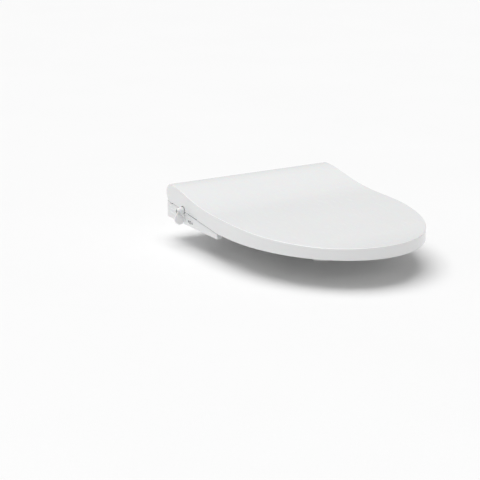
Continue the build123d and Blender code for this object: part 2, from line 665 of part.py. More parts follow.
with BuildPart() as flow_turbine:
    turbine_y0, turbine_y1 = SENSOR_FRONT_Y + 4.5, SOLENOID_FRONT_Y - 5.5
    add(along(INLET_X, turbine_y0, turbine_y1, INLET_Z, 1.8))
    for turn in range(5):
        with BuildSketch(Plane.XZ.offset(-turbine_y1 + 1)):
            with Locations((INLET_X, INLET_Z)):
                with PolarLocations(3.6, 1, start_angle=turn * 72):
                    Rectangle(4.4, 0.9)
        extrude(amount=turbine_y1 - turbine_y0 - 2)
finish_part(flow_turbine, "flow_turbine")

# ================================================================ heater, control board, gland
HEATER_X0, HEATER_X1 = BAY_IN + 7.0, BAY_OUT - 3.0
HEATER_Y0, HEATER_Y1 = -30.0, 10.0
HEATER_LOW, HEATER_TOP = RAISED_TOP + 3.4, 35.0
NIPPLE_R, NIPPLE_LENGTH = 1.7, 7.0
HEATER_PORT_Z = 18.0
HEATER_PORTS = (HEATER_X0 + 10.0, HEATER_X1 - 10.0)

with BuildPart() as heater_module:
    add(box(HEATER_X0, HEATER_X1, HEATER_Y0, HEATER_Y1, HEATER_LOW, HEATER_TOP))
    fillet(heater_module.edges().filter_by(Axis.Z), 4)
    for x in HEATER_PORTS:
        add(along(x, HEATER_Y0 - NIPPLE_LENGTH, HEATER_Y0 + 1, HEATER_PORT_Z, NIPPLE_R))
        add(along(x, HEATER_Y0 - NIPPLE_LENGTH - 1, HEATER_Y0 + 3, HEATER_PORT_Z, 1.0), mode=Mode.SUBTRACT)
    rib_run = HEATER_X1 - HEATER_X0 - 12
    for step in range(5):
        x = HEATER_X0 + 6 + rib_run * step / 4
        add(box(x - 0.8, x + 0.8, HEATER_Y0 + 5, HEATER_Y1 - 5, HEATER_TOP, HEATER_TOP + 1.2))
finish_part(heater_module, "heater_module")

BOARD_LOW = HEATER_TOP + 4.0
BOARD_T = 1.6
with BuildPart() as board_cover:
    add(box(HEATER_X0, HEATER_X1, HEATER_Y0 + 4, HEATER_Y1 - 2, HEATER_TOP + 1.4, BOARD_LOW + 2.4))
    add(
        box(HEATER_X0 + 1.2, HEATER_X1 - 1.2, HEATER_Y0 + 5.2, HEATER_Y1 - 3.2, HEATER_TOP + 2.6,
            BOARD_LOW + 3),
        mode=Mode.SUBTRACT,
    )
finish_part(board_cover, "board_cover")

with BuildPart() as control_board:
    add(box(HEATER_X0 + 1.5, HEATER_X1 - 1.5, HEATER_Y0 + 5.5, HEATER_Y1 - 3.5, BOARD_LOW - 1,
            BOARD_LOW - 1 + BOARD_T))
    chip_low = BOARD_LOW - 1 + BOARD_T
    add(box(HEATER_X0 + 8, HEATER_X0 + 20, HEATER_Y0 + 10, HEATER_Y0 + 22, chip_low, chip_low + 2))
    add(box(HEATER_X0 + 26, HEATER_X0 + 38, HEATER_Y1 - 16, HEATER_Y1 - 8, chip_low, chip_low + 7))
    for step in range(3):
        add(post(HEATER_X1 - 8, HEATER_Y0 + 11 + 8 * step, chip_low, chip_low + 6, 3))
finish_part(control_board, "control_board")

with BuildPart() as power_gland:
    add(along(GLAND_X, UNIT_REAR_Y - 6, UNIT_REAR_Y + 2, GLAND_Z, GLAND_R))
    add(along(GLAND_X, UNIT_REAR_Y, UNIT_REAR_Y + 2.4, GLAND_Z, GLAND_R + 2))
    add(along(GLAND_X, UNIT_REAR_Y - UNIT_WALL - 4, UNIT_REAR_Y - UNIT_WALL - 0.2, GLAND_Z, GLAND_R + 2))
    add(along(GLAND_X, UNIT_REAR_Y - 9, UNIT_REAR_Y + 5, GLAND_Z, GLAND_BORE_R), mode=Mode.SUBTRACT)
finish_part(power_gland, "power_gland")

# ================================================================ lever valve
VALVE_OUT = -(SIDE_OUT - 0.8)
VALVE_IN = -(SIDE_IN + 3.0)
BONNET_T = 6.0
BODY_OUT = VALVE_OUT + BONNET_T
DISC_T = 3.0
FIXED_DISC_X = VALVE_IN - 5.0
VALVE_PORT_Z = 6.5
VALVE_PORTS = [VALVE_IN - 3.0 - 8.0 * step for step in range(3)]
VALVE_FOOT_FRONT = LEVER_Y - 11.0

with BuildPart() as valve_body:
    add(bar(BODY_OUT, VALVE_IN, LEVER_Y, LEVER_Z, VALVE_R))
    add(box(BODY_OUT, VALVE_IN, VALVE_FOOT_FRONT, LEVER_Y + 9, TRAY_FLOOR + 0.2, LEVER_Z - 9))
    add(bar(BODY_OUT - 1, FIXED_DISC_X, LEVER_Y, LEVER_Z, CERAMIC_R + 0.1), mode=Mode.SUBTRACT)
    for x in VALVE_PORTS:
        add(along(x, VALVE_FOOT_FRONT - NIPPLE_LENGTH, VALVE_FOOT_FRONT + 1, VALVE_PORT_Z, NIPPLE_R))
        add(
            along(x, VALVE_FOOT_FRONT - NIPPLE_LENGTH - 1, VALVE_FOOT_FRONT + 6, VALVE_PORT_Z, 1.0),
            mode=Mode.SUBTRACT,
        )
finish_part(valve_body, "valve_body")

with BuildPart() as valve_bonnet:
    add(bar(VALVE_OUT, BODY_OUT - 0.1, LEVER_Y, LEVER_Z, VALVE_R))
    add(bar(BODY_OUT - 1, FIXED_DISC_X - 2 * DISC_T - 4, LEVER_Y, LEVER_Z, CERAMIC_R))
    add(bar(VALVE_OUT - 1, VALVE_IN, LEVER_Y, LEVER_Z, SPINDLE_R + PIN_FIT), mode=Mode.SUBTRACT)
finish_part(valve_bonnet, "valve_bonnet")

with BuildPart() as fixed_ceramic_disc:
    with BuildSketch(Plane.YZ.offset(FIXED_DISC_X - DISC_T)):
        with Locations((LEVER_Y, LEVER_Z)):
            Circle(CERAMIC_R)
            with PolarLocations(5.5, 3):
                Circle(1.6, mode=Mode.SUBTRACT)
    extrude(amount=DISC_T)
finish_part(fixed_ceramic_disc, "fixed_ceramic_disc")

MOVING_DISC_X = FIXED_DISC_X - DISC_T - 0.1
with BuildPart() as moving_ceramic_disc:
    with BuildSketch(Plane.YZ.offset(MOVING_DISC_X - DISC_T)):
        with Locations((LEVER_Y, LEVER_Z)):
            Circle(CERAMIC_R - 0.3)
    extrude(amount=DISC_T)
    with BuildSketch(Plane.YZ.offset(MOVING_DISC_X - 1.4)):
        with Locations((LEVER_Y, LEVER_Z - 5.2)):
            SlotOverall(9, 3.4, rotation=20)
    extrude(amount=DISC_T, mode=Mode.SUBTRACT)
finish_part(moving_ceramic_disc, "moving_ceramic_disc")

# ================================================================ lever
STEM_T = 6.0
DRUM_IN = -(LEVER_FACE + COLLAR_T + 0.4)
PADDLE_X = -(half_at(LEVER_Y - LEVER_REACH - PADDLE_LONG_R) + PADDLE_CLEAR + PADDLE_R)
DRUM_OUT = PADDLE_X + STEM_T / 2
lever_down = Plane(
    origin=(PADDLE_X, LEVER_Y, LEVER_Z),
    x_dir=(1, 0, 0),
    z_dir=(0, -cos(radians(LEVER_TILT)), sin(radians(LEVER_TILT))),
)

with BuildPart() as lever_handle:
    add(bar(DRUM_OUT, DRUM_IN, LEVER_Y, LEVER_Z, LEVER_DRUM_R))
    chamfer(lever_handle.edges().sort_by(Axis.X)[0], 0.8)
    # cap at the stem's upper end
    add(bar(DRUM_OUT - STEM_T, DRUM_OUT + 0.5, LEVER_Y, LEVER_Z, LEVER_DRUM_R - 1.5))
    # stem and paddle, flat faces to front and back
    with BuildSketch(lever_down.offset(-PADDLE_T / 2)):
        with BuildLine():
            half = STEM_T / 2
            neck = LEVER_REACH - PADDLE_LONG_R
            left = Spline(
                (-half, 0), (-half - 0.2, -0.6 * neck), (-PADDLE_R, -LEVER_REACH),
                tangents=((0, -1), (0, -1)),
            )
            EllipticalCenterArc(
                (0, -LEVER_REACH), PADDLE_R, PADDLE_LONG_R, start_angle=180, arc_size=180
            )
            Spline(
                (PADDLE_R, -LEVER_REACH), (half + 0.2, -0.6 * neck), (half, 0),
                tangents=((0, 1), (0, 1)),
            )
            Line((half, 0), (-half, 0))
        make_face()
    extrude(amount=PADDLE_T)
    add(bar(DRUM_OUT - STEM_T - 1, DRUM_IN + 1, LEVER_Y, LEVER_Z, SPINDLE_R), mode=Mode.SUBTRACT)
finish_part(lever_handle, "lever_handle")

SPINDLE_OUT = DRUM_OUT + 1.0
with BuildPart() as lever_spindle:
    add(bar(SPINDLE_OUT, MOVING_DISC_X - DISC_T, LEVER_Y, LEVER_Z, SPINDLE_R))
    add(bar(MOVING_DISC_X - DISC_T - 2.5, MOVING_DISC_X - DISC_T, LEVER_Y, LEVER_Z, 6.5))
    add(bar(SPINDLE_OUT - 1, SPINDLE_OUT + 9, LEVER_Y, LEVER_Z, 1.2), mode=Mode.SUBTRACT)
finish_part(lever_spindle, "lever_spindle")

with BuildPart() as lever_screw:
    add(bar(SPINDLE_OUT, SPINDLE_OUT + 8, LEVER_Y, LEVER_Z, 1.2))
    add(bar(SPINDLE_OUT - 2, SPINDLE_OUT, LEVER_Y, LEVER_Z, 2.8))
    add(box(SPINDLE_OUT - 3, SPINDLE_OUT - 1.2, LEVER_Y - 2, LEVER_Y + 2, LEVER_Z - 0.4,
            LEVER_Z + 0.4), mode=Mode.SUBTRACT)
finish_part(lever_screw, "lever_screw")

# ================================================================ wash nozzles
forward = (0, -cos(radians(NOZZLE_TILT)), -sin(radians(NOZZLE_TILT)))


def nozzle_plane(x, back):
    """Plane square to the nozzles, back behind the tip, with its y axis pointing up."""
    origin = (x, NOZZLE_TIP_Y - forward[1] * back, NOZZLE_TIP_Z - forward[2] * back)
    return Plane(origin=origin, x_dir=(-1, 0, 0), z_dir=forward)


def tube_along(x, back0, back1, radius):
    """Round bar on a nozzle's axis between two distances behind its tip."""
    with BuildPart() as rod:
        with BuildSketch(nozzle_plane(x, back1)):
            Circle(radius)
        extrude(amount=back1 - back0)
    return rod.part


def slab_along(half_x, half_h, back0, back1):
    """Rectangular block on the middle axis of the two nozzles."""
    with BuildPart() as slab:
        with BuildSketch(nozzle_plane(0, back1)):
            RectangleRounded(2 * half_x, 2 * half_h, 3)
        extrude(amount=back1 - back0)
    return slab.part


def port_at(back, lift, x0, x1, radius):
    """Round bar along X at a height lift above the nozzles' middle axis."""
    up = (0, forward[2], -forward[1])
    y = NOZZLE_TIP_Y - forward[1] * back + up[1] * lift
    z = NOZZLE_TIP_Z - forward[2] * back + up[2] * lift
    return bar(x0, x1, y, z, radius), (y, z)


BORE_FRONT = HOUSING_FRONT + GUIDE_LENGTH
CHAMBER_REAR = HOUSING_REAR - 4.0
PORTS = (("rear", -NOZZLE_X, CHAMBER_REAR - 1.5, 4.6), ("front", NOZZLE_X, CHAMBER_REAR + 2.0, -4.6))
port_places = {}

with BuildPart() as nozzle_housing:
    add(slab_along(HOUSING_HALF_X, HOUSING_HALF_H, HOUSING_FRONT, HOUSING_REAR))
    for x in (-NOZZLE_X, NOZZLE_X):
        add(tube_along(x, BORE_FRONT, CHAMBER_REAR, PISTON_R + 0.05), mode=Mode.SUBTRACT)
        add(tube_along(x, HOUSING_FRONT - 1, BORE_FRONT + 1, NOZZLE_R + 0.06), mode=Mode.SUBTRACT)
    for name, x, back, lift in PORTS:
        nipple, place = port_at(back, lift, -HOUSING_HALF_X - NIPPLE_LENGTH, -HOUSING_HALF_X + 1, NIPPLE_R)
        add(nipple)
        drill, port_places[name] = port_at(back, lift, -HOUSING_HALF_X - NIPPLE_LENGTH - 1, x, 1.0)
        add(drill, mode=Mode.SUBTRACT)
finish_part(nozzle_housing, "nozzle_housing")

SPRAY_BACK = 7.0
SEAL_T = 1.4
for name, x in (("rear", -NOZZLE_X), ("front", NOZZLE_X)):
    with BuildPart() as nozzle_tube:
        add(tube_along(x, NOZZLE_TIP_LENGTH, NOZZLE_LENGTH, NOZZLE_R))
        add(tube_along(x, NOZZLE_LENGTH - PISTON_LENGTH, NOZZLE_LENGTH, PISTON_R - 0.1))
        add(tube_along(x, NOZZLE_TIP_LENGTH - 1, NOZZLE_LENGTH + 1, 1.8), mode=Mode.SUBTRACT)
        with BuildSketch(nozzle_plane(x, NOZZLE_LENGTH - 1.3)):
            Circle(NOZZLE_R + 2)
            Circle(NOZZLE_R - 1.2, mode=Mode.SUBTRACT)
        extrude(amount=SEAL_T, mode=Mode.SUBTRACT)
    finish_part(nozzle_tube, f"{name}_nozzle_tube")

    with BuildPart() as nozzle_tip:
        add(tube_along(x, 0, NOZZLE_TIP_LENGTH - 0.05, NOZZLE_R))
        fillet(nozzle_tip.edges().sort_by(Axis.Y)[0], 2.2)
        add(tube_along(x, SPRAY_BACK - 1, NOZZLE_TIP_LENGTH + 1, 1.8), mode=Mode.SUBTRACT)
        spray = nozzle_plane(x, SPRAY_BACK).location.position
        with BuildSketch(Plane(origin=spray, x_dir=(1, 0, 0), z_dir=(0, -0.35, 0.94))):
            with Locations((-1.2, 0), (1.2, 0), (0, 0)):
                Circle(0.5)
        extrude(amount=NOZZLE_R + 2, mode=Mode.SUBTRACT)
    finish_part(nozzle_tip, f"{name}_nozzle_tip")

    with BuildPart() as nozzle_seal:
        with BuildSketch(nozzle_plane(x, NOZZLE_LENGTH - 1.3)):
            Circle(PISTON_R)
            Circle(NOZZLE_R - 1.2, mode=Mode.SUBTRACT)
        extrude(amount=SEAL_T)
    finish_part(nozzle_seal, f"{name}_nozzle_seal")

# Return springs: one coil round each nozzle tube, between the front guide and the piston.
SPRING_WIRE_R, SPRING_TURNS = 0.32, 9
spring_front, spring_rear = BORE_FRONT + 0.8, NOZZLE_LENGTH - PISTON_LENGTH - 0.8
spring_height = spring_rear - spring_front
SPRING_COIL_R = (NOZZLE_R + PISTON_R) / 2
for name, x in (("rear", -NOZZLE_X), ("front", NOZZLE_X)):
    base = nozzle_plane(x, spring_rear)
    with BuildPart() as nozzle_spring:
        with BuildLine() as coil:
            Helix(
                spring_height / SPRING_TURNS, spring_height, SPRING_COIL_R,
                center=base.origin, direction=base.z_dir,
            )
        with BuildSketch(Plane(origin=coil.line @ 0, z_dir=coil.line % 0)):
            Circle(SPRING_WIRE_R)
        sweep(path=coil.line, is_frenet=True)
    finish_part(nozzle_spring, f"{name}_nozzle_spring")

# Clip-in guard over the nozzle gate, with a cut-out that the nozzles pass through.
with BuildPart() as nozzle_guard:
    guard_half = NOZZLE_GATE_HALF + 3.0
    add(box(-guard_half, guard_half, UNIT_FRONT_Y - 2.2, UNIT_FRONT_Y - 0.2, 1.0, NOZZLE_GATE_TOP + 6))
    fillet(nozzle_guard.edges().filter_by(Axis.Y), 3)
    for x in (-NOZZLE_X, NOZZLE_X):
        add(tube_along(x, -14, 14, NOZZLE_R + 1.2), mode=Mode.SUBTRACT)
finish_part(nozzle_guard, "nozzle_guard")

# ================================================================ hoses
HOSE_BEND = 4.0
HOSE_LOW = VALVE_PORT_Z


def hose(points):
    """Water hose of straight runs joined by arcs."""
    with BuildPart() as tube:
        with BuildLine() as path:
            FilletPolyline(*points, radius=HOSE_BEND)
        with BuildSketch(Plane(origin=path.line @ 0, z_dir=path.line % 0)):
            Circle(HOSE_R)
            Circle(NIPPLE_R, mode=Mode.SUBTRACT)
        sweep(path=path.line)
    return tube


valve_start = VALVE_FOOT_FRONT - 1.0
LANES = [UNIT_FRONT_Y + 38.0, UNIT_FRONT_Y + 29.0, UNIT_FRONT_Y + 20.0]
heater_start = HEATER_Y0 - 1.0
housing_start = -HOUSING_HALF_X - 1.0
sensor_start = SENSOR_FRONT_Y - 1.0

hose_inlet = hose([
    (INLET_X, sensor_start, INLET_Z),
    (INLET_X, sensor_start - 9, INLET_Z),
    (INLET_X, LANES[1] - 2, HOSE_LOW),
    (HEATER_PORTS[1], LANES[1] - 2, HOSE_LOW),
    (HEATER_PORTS[1], LANES[1] - 2, HEATER_PORT_Z),
    (HEATER_PORTS[1], heater_start, HEATER_PORT_Z),
])
finish_part(hose_inlet, "hose_inlet")

hose_heater_valve = hose([
    (HEATER_PORTS[0], heater_start, HEATER_PORT_Z),
    (HEATER_PORTS[0], LANES[0] - 6, HEATER_PORT_Z),
    (HEATER_PORTS[0] - 14, LANES[0], HOSE_LOW),
    (VALVE_PORTS[0], LANES[0], HOSE_LOW),
    (VALVE_PORTS[0], valve_start, HOSE_LOW),
])
finish_part(hose_heater_valve, "hose_heater_valve")

front_y, front_z = port_places["front"]
rear_y, rear_z = port_places["rear"]
hose_front_nozzle = hose([
    (housing_start, front_y, front_z),
    (housing_start - 14, front_y, front_z),
    (housing_start - 26, -24.0, 18.5),
    (housing_start - 48, LANES[2], HOSE_LOW),
    (VALVE_PORTS[2], LANES[2], HOSE_LOW),
    (VALVE_PORTS[2], valve_start, HOSE_LOW),
])
finish_part(hose_front_nozzle, "hose_front_nozzle")

hose_rear_nozzle = hose([
    (housing_start, rear_y, rear_z),
    (housing_start - 20, rear_y, rear_z),
    (housing_start - 36, -20.0, 27.0),
    (housing_start - 60, LANES[1], HOSE_LOW),
    (VALVE_PORTS[1], LANES[1], HOSE_LOW),
    (VALVE_PORTS[1], valve_start, HOSE_LOW),
])
finish_part(hose_rear_nozzle, "hose_rear_nozzle")

# ================================================================ seat
HORN_SPACE = half_at(RING_REAR_Y) - BODY_INSET - HORN_WIDTH
SHOULDER_HALF = HORN_SPACE - 2 * MOVE_CLEAR
RING_EDGE_R = 4.0
SHELL_LOW = RING_LOW + RING_PLATE
SHELL_INNER_TOP = RING_TOP - RING_WALL


def ring_place(angle):
    """Point midway across the seat ring, by angle round it."""
    turn = radians(angle)
    outer = (
        (WIDTH / 2 - RING_INSET) * cos(turn),
        WIDE_Y + (NOSE - RING_INSET) * sin(turn),
    )
    inner = (OPENING_HALF_X * cos(turn), OPENING_Y + OPENING_HALF_Y * sin(turn))
    return ((outer[0] + inner[0]) / 2, (outer[1] + inner[1]) / 2)


def ring_prism(inset, low, high, corner=0.0):
    """Seat ring drawn in by inset from its outer and inner edges."""
    with BuildPart() as ring:
        add(plan_prism(RING_INSET + inset, low, high))
        add(
            box(-WIDTH, WIDTH, RING_REAR_Y - inset, REAR_Y + 1, low - 1, high + 1),
            mode=Mode.SUBTRACT,
        )
        for side in (-1, 1):
            x0, x1 = sorted((side * (SHOULDER_HALF - inset), side * WIDTH))
            add(
                box(x0, x1, RING_SHOULDER_Y - inset, REAR_Y + 1, low - 1, high + 1),
                mode=Mode.SUBTRACT,
            )
        if corner:
            fillet(ring.edges().filter_by(Axis.Z).filter_by_position(
                Axis.Y, RING_SHOULDER_Y - 1, REAR_Y), corner)
        with BuildSketch(Plane.XY.offset(low)):
            with Locations((0, OPENING_Y)):
                Ellipse(OPENING_HALF_X + inset, OPENING_HALF_Y + inset)
        extrude(amount=high - low, mode=Mode.SUBTRACT)
    return ring.part


def arm_section():
    """Side view of a seat arm: hub on the hinge axis, running down into the ring."""
    with BuildSketch() as section:
        with BuildLine():
            Polyline(
                (AXIS_Y, AXIS_Z + HUB_R),
                (RING_REAR_Y - 8, RING_TOP - RING_EDGE_R / 2),
                (RING_REAR_Y - 16, RING_TOP - RING_EDGE_R / 2),
                (RING_REAR_Y - 16, SHELL_LOW),
                (RING_REAR_Y + 6, SHELL_LOW),
                (UNIT_FRONT_Y + 18, SPLIT_Z + 2.6),
                (AXIS_Y - HUB_R / 3, AXIS_Z - HUB_R),
                (AXIS_Y, AXIS_Z - HUB_R),
                close=True,
            )
        make_face()
        with Locations((AXIS_Y, AXIS_Z)):
            Circle(HUB_R)
    return section.sketch


RING_SCREWS = [ring_place(angle) for angle in (-20, -65, -115, -160)]
RING_SCREWS += [(side * OPENING_HALF_X * 0.5, RING_REAR_Y - 12.5) for side in (-1, 1)]
RING_POST_R = 3.6
RING_SCREW_R = 1.2

with BuildPart() as seat_top_shell:
    add(ring_prism(0, SHELL_LOW, RING_TOP, corner=6.0))
    fillet(seat_top_shell.edges().group_by(Axis.Z)[-1], RING_EDGE_R)
    add(ring_prism(RING_WALL, SHELL_LOW - 1, SHELL_INNER_TOP), mode=Mode.SUBTRACT)
    for x, y in RING_SCREWS:
        add(post(x, y, SHELL_LOW, SHELL_INNER_TOP + 0.5, RING_POST_R))
        add(post(x, y, SHELL_LOW - 1, SHELL_INNER_TOP - 2, RING_SCREW_R), mode=Mode.SUBTRACT)
    for side in (-1, 1):
        x0, x1 = sorted((side * ARM_IN, side * ARM_OUT))
        add(across(arm_section(), x0, x1))
    add(bar(-ARM_OUT - 1, -ARM_OUT + 7, AXIS_Y, AXIS_Z, BORE_R), mode=Mode.SUBTRACT)
    add(bar(-ARM_OUT + 6, -ARM_IN + 1, AXIS_Y, AXIS_Z, PIN_R), mode=Mode.SUBTRACT)
    add(bar(ARM_IN - 1, ARM_OUT + 1, AXIS_Y, AXIS_Z, BORE_R), mode=Mode.SUBTRACT)
finish_part(seat_top_shell, "seat_top_shell")

with BuildPart() as seat_bottom_plate:
    add(ring_prism(0, RING_LOW, SHELL_LOW, corner=6.0))
    for x, y in RING_SCREWS:
        add(post(x, y, RING_LOW - 1, SHELL_LOW + 1, RING_SCREW_R + 0.2), mode=Mode.SUBTRACT)
        add(post(x, y, RING_LOW - 1, RING_LOW + 1.5, 2.8), mode=Mode.SUBTRACT)
finish_part(seat_bottom_plate, "seat_bottom_plate")

with BuildPart() as seat_screws:
    for x, y in RING_SCREWS:
        add(post(x, y, RING_LOW + 0.2, SHELL_LOW + 8, RING_SCREW_R))
        add(post(x, y, RING_LOW + 0.2, RING_LOW + 1.4, 2.6))
finish_part(seat_screws, "seat_screws")

FOIL_T = 0.5
with BuildPart() as seat_heater_foil:
    foil_low = SHELL_INNER_TOP - FOIL_T - 0.05
    add(ring_prism(RING_WALL + 5, foil_low, foil_low + FOIL_T))
    add(
        box(-WIDTH, WIDTH, RING_REAR_Y - 26, REAR_Y, foil_low - 1, foil_low + 2),
        mode=Mode.SUBTRACT,
    )
    for x, y in RING_SCREWS:
        add(post(x, y, foil_low - 1, foil_low + 2, RING_POST_R + 1), mode=Mode.SUBTRACT)
finish_part(seat_heater_foil, "seat_heater_foil")

with BuildPart() as seat_sensor:
    x, y = ring_place(-90)
    add(box(x - 16, x + 16, y - 6, y + 6, foil_low - 5, foil_low - 0.1))
    fillet(seat_sensor.edges().filter_by(Axis.Z), 2)
finish_part(seat_sensor, "seat_sensor")

BUMPER_ANGLES = (-4, -50, -130, -176)
with BuildPart() as seat_bumpers:
    for angle in BUMPER_ANGLES:
        x, y = ring_place(angle)
        with BuildSketch(Plane.XY.offset(0.2)):
            with Locations(Location((x, y, 0), (0, 0, angle + 90))):
                RectangleRounded(30, 13, 5)
        extrude(amount=RING_LOW - 0.2)
finish_part(seat_bumpers, "seat_bumpers")

with BuildPart() as seat_shaft:
    add(bar(-ARM_OUT + 8, -BOSS_B_IN - 18, AXIS_Y, AXIS_Z, PIN_R))
    chamfer(seat_shaft.edges().sort_by(Axis.X)[-1], 0.8)
finish_part(seat_shaft, "seat_shaft")

# ================================================================ dampers in the inner bosses
DAMPER_OUT, DAMPER_IN = BOSS_B_OUT - 1.5, BOSS_B_IN + 4.2
for name, side in (("seat_damper", -1), ("lid_damper", 1)):
    with BuildPart() as damper:
        x0, x1 = sorted((side * DAMPER_IN, side * DAMPER_OUT))
        add(bar(x0, x1, AXIS_Y, AXIS_Z, DAMPER_R))
        x0, x1 = sorted((side * (BOSS_B_IN + 17), side * (DAMPER_OUT + 1)))
        add(bar(x0, x1, AXIS_Y, AXIS_Z, BORE_R), mode=Mode.SUBTRACT)
    finish_part(damper, name)

# ================================================================ lid
GRIP_Y, GRIP_HALF, GRIP_RISE, GRIP_DEPTH = -52.0, 17.0, 7.0, 0.7
LID_PIN_DEPTH = 14.0


def lid_hollow():
    """Space under the lid's skin: open below, with the solid end discs left standing."""
    inner_half = DISC_X
    with BuildPart() as hollow:
        add(plan_prism(LID_WALL, -TALL, TALL))
        add(across(under_top(LID_WALL), -WIDTH, WIDTH), mode=Mode.INTERSECT)
        add(box(-WIDTH, WIDTH, AXIS_Y, REAR_Y + 30, -TALL - 1, TALL + 1), mode=Mode.SUBTRACT)
        for side in (-1, 1):
            x0, x1 = sorted((side * inner_half, side * WIDTH))
            add(bar(x0, x1, AXIS_Y, AXIS_Z, ROLL_R), mode=Mode.SUBTRACT)
        add(bar(-inner_half, inner_half, AXIS_Y, AXIS_Z, ROLL_R - LID_WALL))
        add(box(-inner_half, inner_half, AXIS_Y - 1, REAR_Y + 1, -TALL, AXIS_Z))
    return hollow.part


lid_space = lid_hollow()
with BuildPart() as lid_shell:
    add(plan_prism(0, 0, TALL))
    add(across(lid_section(), -WIDTH, WIDTH), mode=Mode.INTERSECT)
    # the rim of the top face and the rims of the roll's two ends
    rim = [
        edge for edge in lid_shell.edges().filter_by(GeomType.BSPLINE)
        if edge.center().Z > LID_SKIRT_Z + 1
    ]
    fillet(rim, LID_EDGE_R)
    add(lid_space, mode=Mode.SUBTRACT)
    add(
        bar(-WIDTH / 2 - 1, -DISC_X, LEVER_Y, LEVER_Z, LEVER_DRUM_R + MOVE_CLEAR),
        mode=Mode.SUBTRACT,
    )
    for side in (-1, 1):
        x0, x1 = sorted((side * (DISC_X - 1), side * (DISC_X + LID_PIN_DEPTH)))
        add(bar(x0, x1, AXIS_Y, AXIS_Z, PIN_R), mode=Mode.SUBTRACT)
        face = half_at(GRIP_Y) - GRIP_DEPTH
        x0, x1 = sorted((side * face, side * WIDTH))
        with BuildSketch(Plane.YZ.offset(x0)):
            with Locations((GRIP_Y, edge_height(GRIP_Y))):
                Ellipse(GRIP_HALF, GRIP_RISE)
        extrude(amount=x1 - x0, mode=Mode.SUBTRACT)
finish_part(lid_shell, "lid_shell")

with BuildPart() as lid_bumpers:
    for angle in (-22, -62, -118, -158):
        x, y = ring_place(angle)
        add(post(x, y, RING_TOP + 0.3, TALL, 6))
    add(lid_space, mode=Mode.INTERSECT)
finish_part(lid_bumpers, "lid_bumpers")

PIN_OUT = DISC_X + LID_PIN_DEPTH - 0.2
for side, inner in ((-1, ARM_OUT - 5.5), (1, BOSS_B_IN + 19)):
    with BuildPart() as lid_pin:
        x0, x1 = sorted((side * inner, side * PIN_OUT))
        add(bar(x0, x1, AXIS_Y, AXIS_Z, PIN_R))
        chamfer(lid_pin.edges().sort_by(Axis.X)[-1 if side < 0 else 0], 0.8)
    finish_part(lid_pin, f"lid_pin_{side_sign(side)}")
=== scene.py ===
from math import atan2, cos, pi, radians, sin

import bmesh
import bpy
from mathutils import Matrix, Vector


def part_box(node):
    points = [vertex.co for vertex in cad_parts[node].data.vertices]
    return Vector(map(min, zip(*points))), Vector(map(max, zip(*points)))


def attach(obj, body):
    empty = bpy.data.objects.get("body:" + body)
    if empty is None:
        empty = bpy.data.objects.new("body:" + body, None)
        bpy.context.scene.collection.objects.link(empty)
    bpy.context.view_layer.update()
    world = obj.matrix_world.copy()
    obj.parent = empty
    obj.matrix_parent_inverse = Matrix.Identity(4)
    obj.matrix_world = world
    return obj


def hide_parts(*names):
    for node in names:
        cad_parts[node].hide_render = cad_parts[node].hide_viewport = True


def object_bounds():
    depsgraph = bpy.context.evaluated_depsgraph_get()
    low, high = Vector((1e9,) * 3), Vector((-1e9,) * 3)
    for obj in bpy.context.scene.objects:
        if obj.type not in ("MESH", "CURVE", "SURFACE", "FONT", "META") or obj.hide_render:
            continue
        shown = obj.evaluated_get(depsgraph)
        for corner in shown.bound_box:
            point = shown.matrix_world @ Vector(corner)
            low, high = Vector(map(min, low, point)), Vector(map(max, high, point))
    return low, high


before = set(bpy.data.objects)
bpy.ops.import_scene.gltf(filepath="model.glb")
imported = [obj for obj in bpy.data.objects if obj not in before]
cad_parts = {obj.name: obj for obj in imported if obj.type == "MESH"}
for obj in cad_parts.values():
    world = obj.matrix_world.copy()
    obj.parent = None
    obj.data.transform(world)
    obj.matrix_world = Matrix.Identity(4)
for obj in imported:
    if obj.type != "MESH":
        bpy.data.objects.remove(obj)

cad_low, cad_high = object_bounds()

# ---------------------------------------------------------------------------- lid
# The lid is one injection moulding in glossy white plastic, a thin domed skin with a
# turned-down skirt and a rolled rear end that turns in the trough of the rear unit.
# It comes out of a polished mould, so only a very soft ripple breaks its reflections.

# Colour sockets of a Mix node and the Normal output of a Geometry node, by number.
COLOUR_A, COLOUR_B, COLOUR_OUT = 6, 7, 2
GEOMETRY_NORMAL = 1

EDGE_FLAT, EDGE_ROUND = 0.995, 0.86  # how far the rounded and the plain normal agree
BEVEL_SAMPLES = 4
# Shade painted into white mouldings deep in their gaps: how closed a face must be, how far it
# looks, and how dark.
GAP_DEEP, GAP_OPEN = 0.05, 0.78  # share of what a face sees that is open
GAP_REACH = 0.006  # metres to the neighbour that closes a gap
GAP_SAMPLES = 8
PAINTED_GAP_SHADE = (0.10, 0.10, 0.105, 1.0)


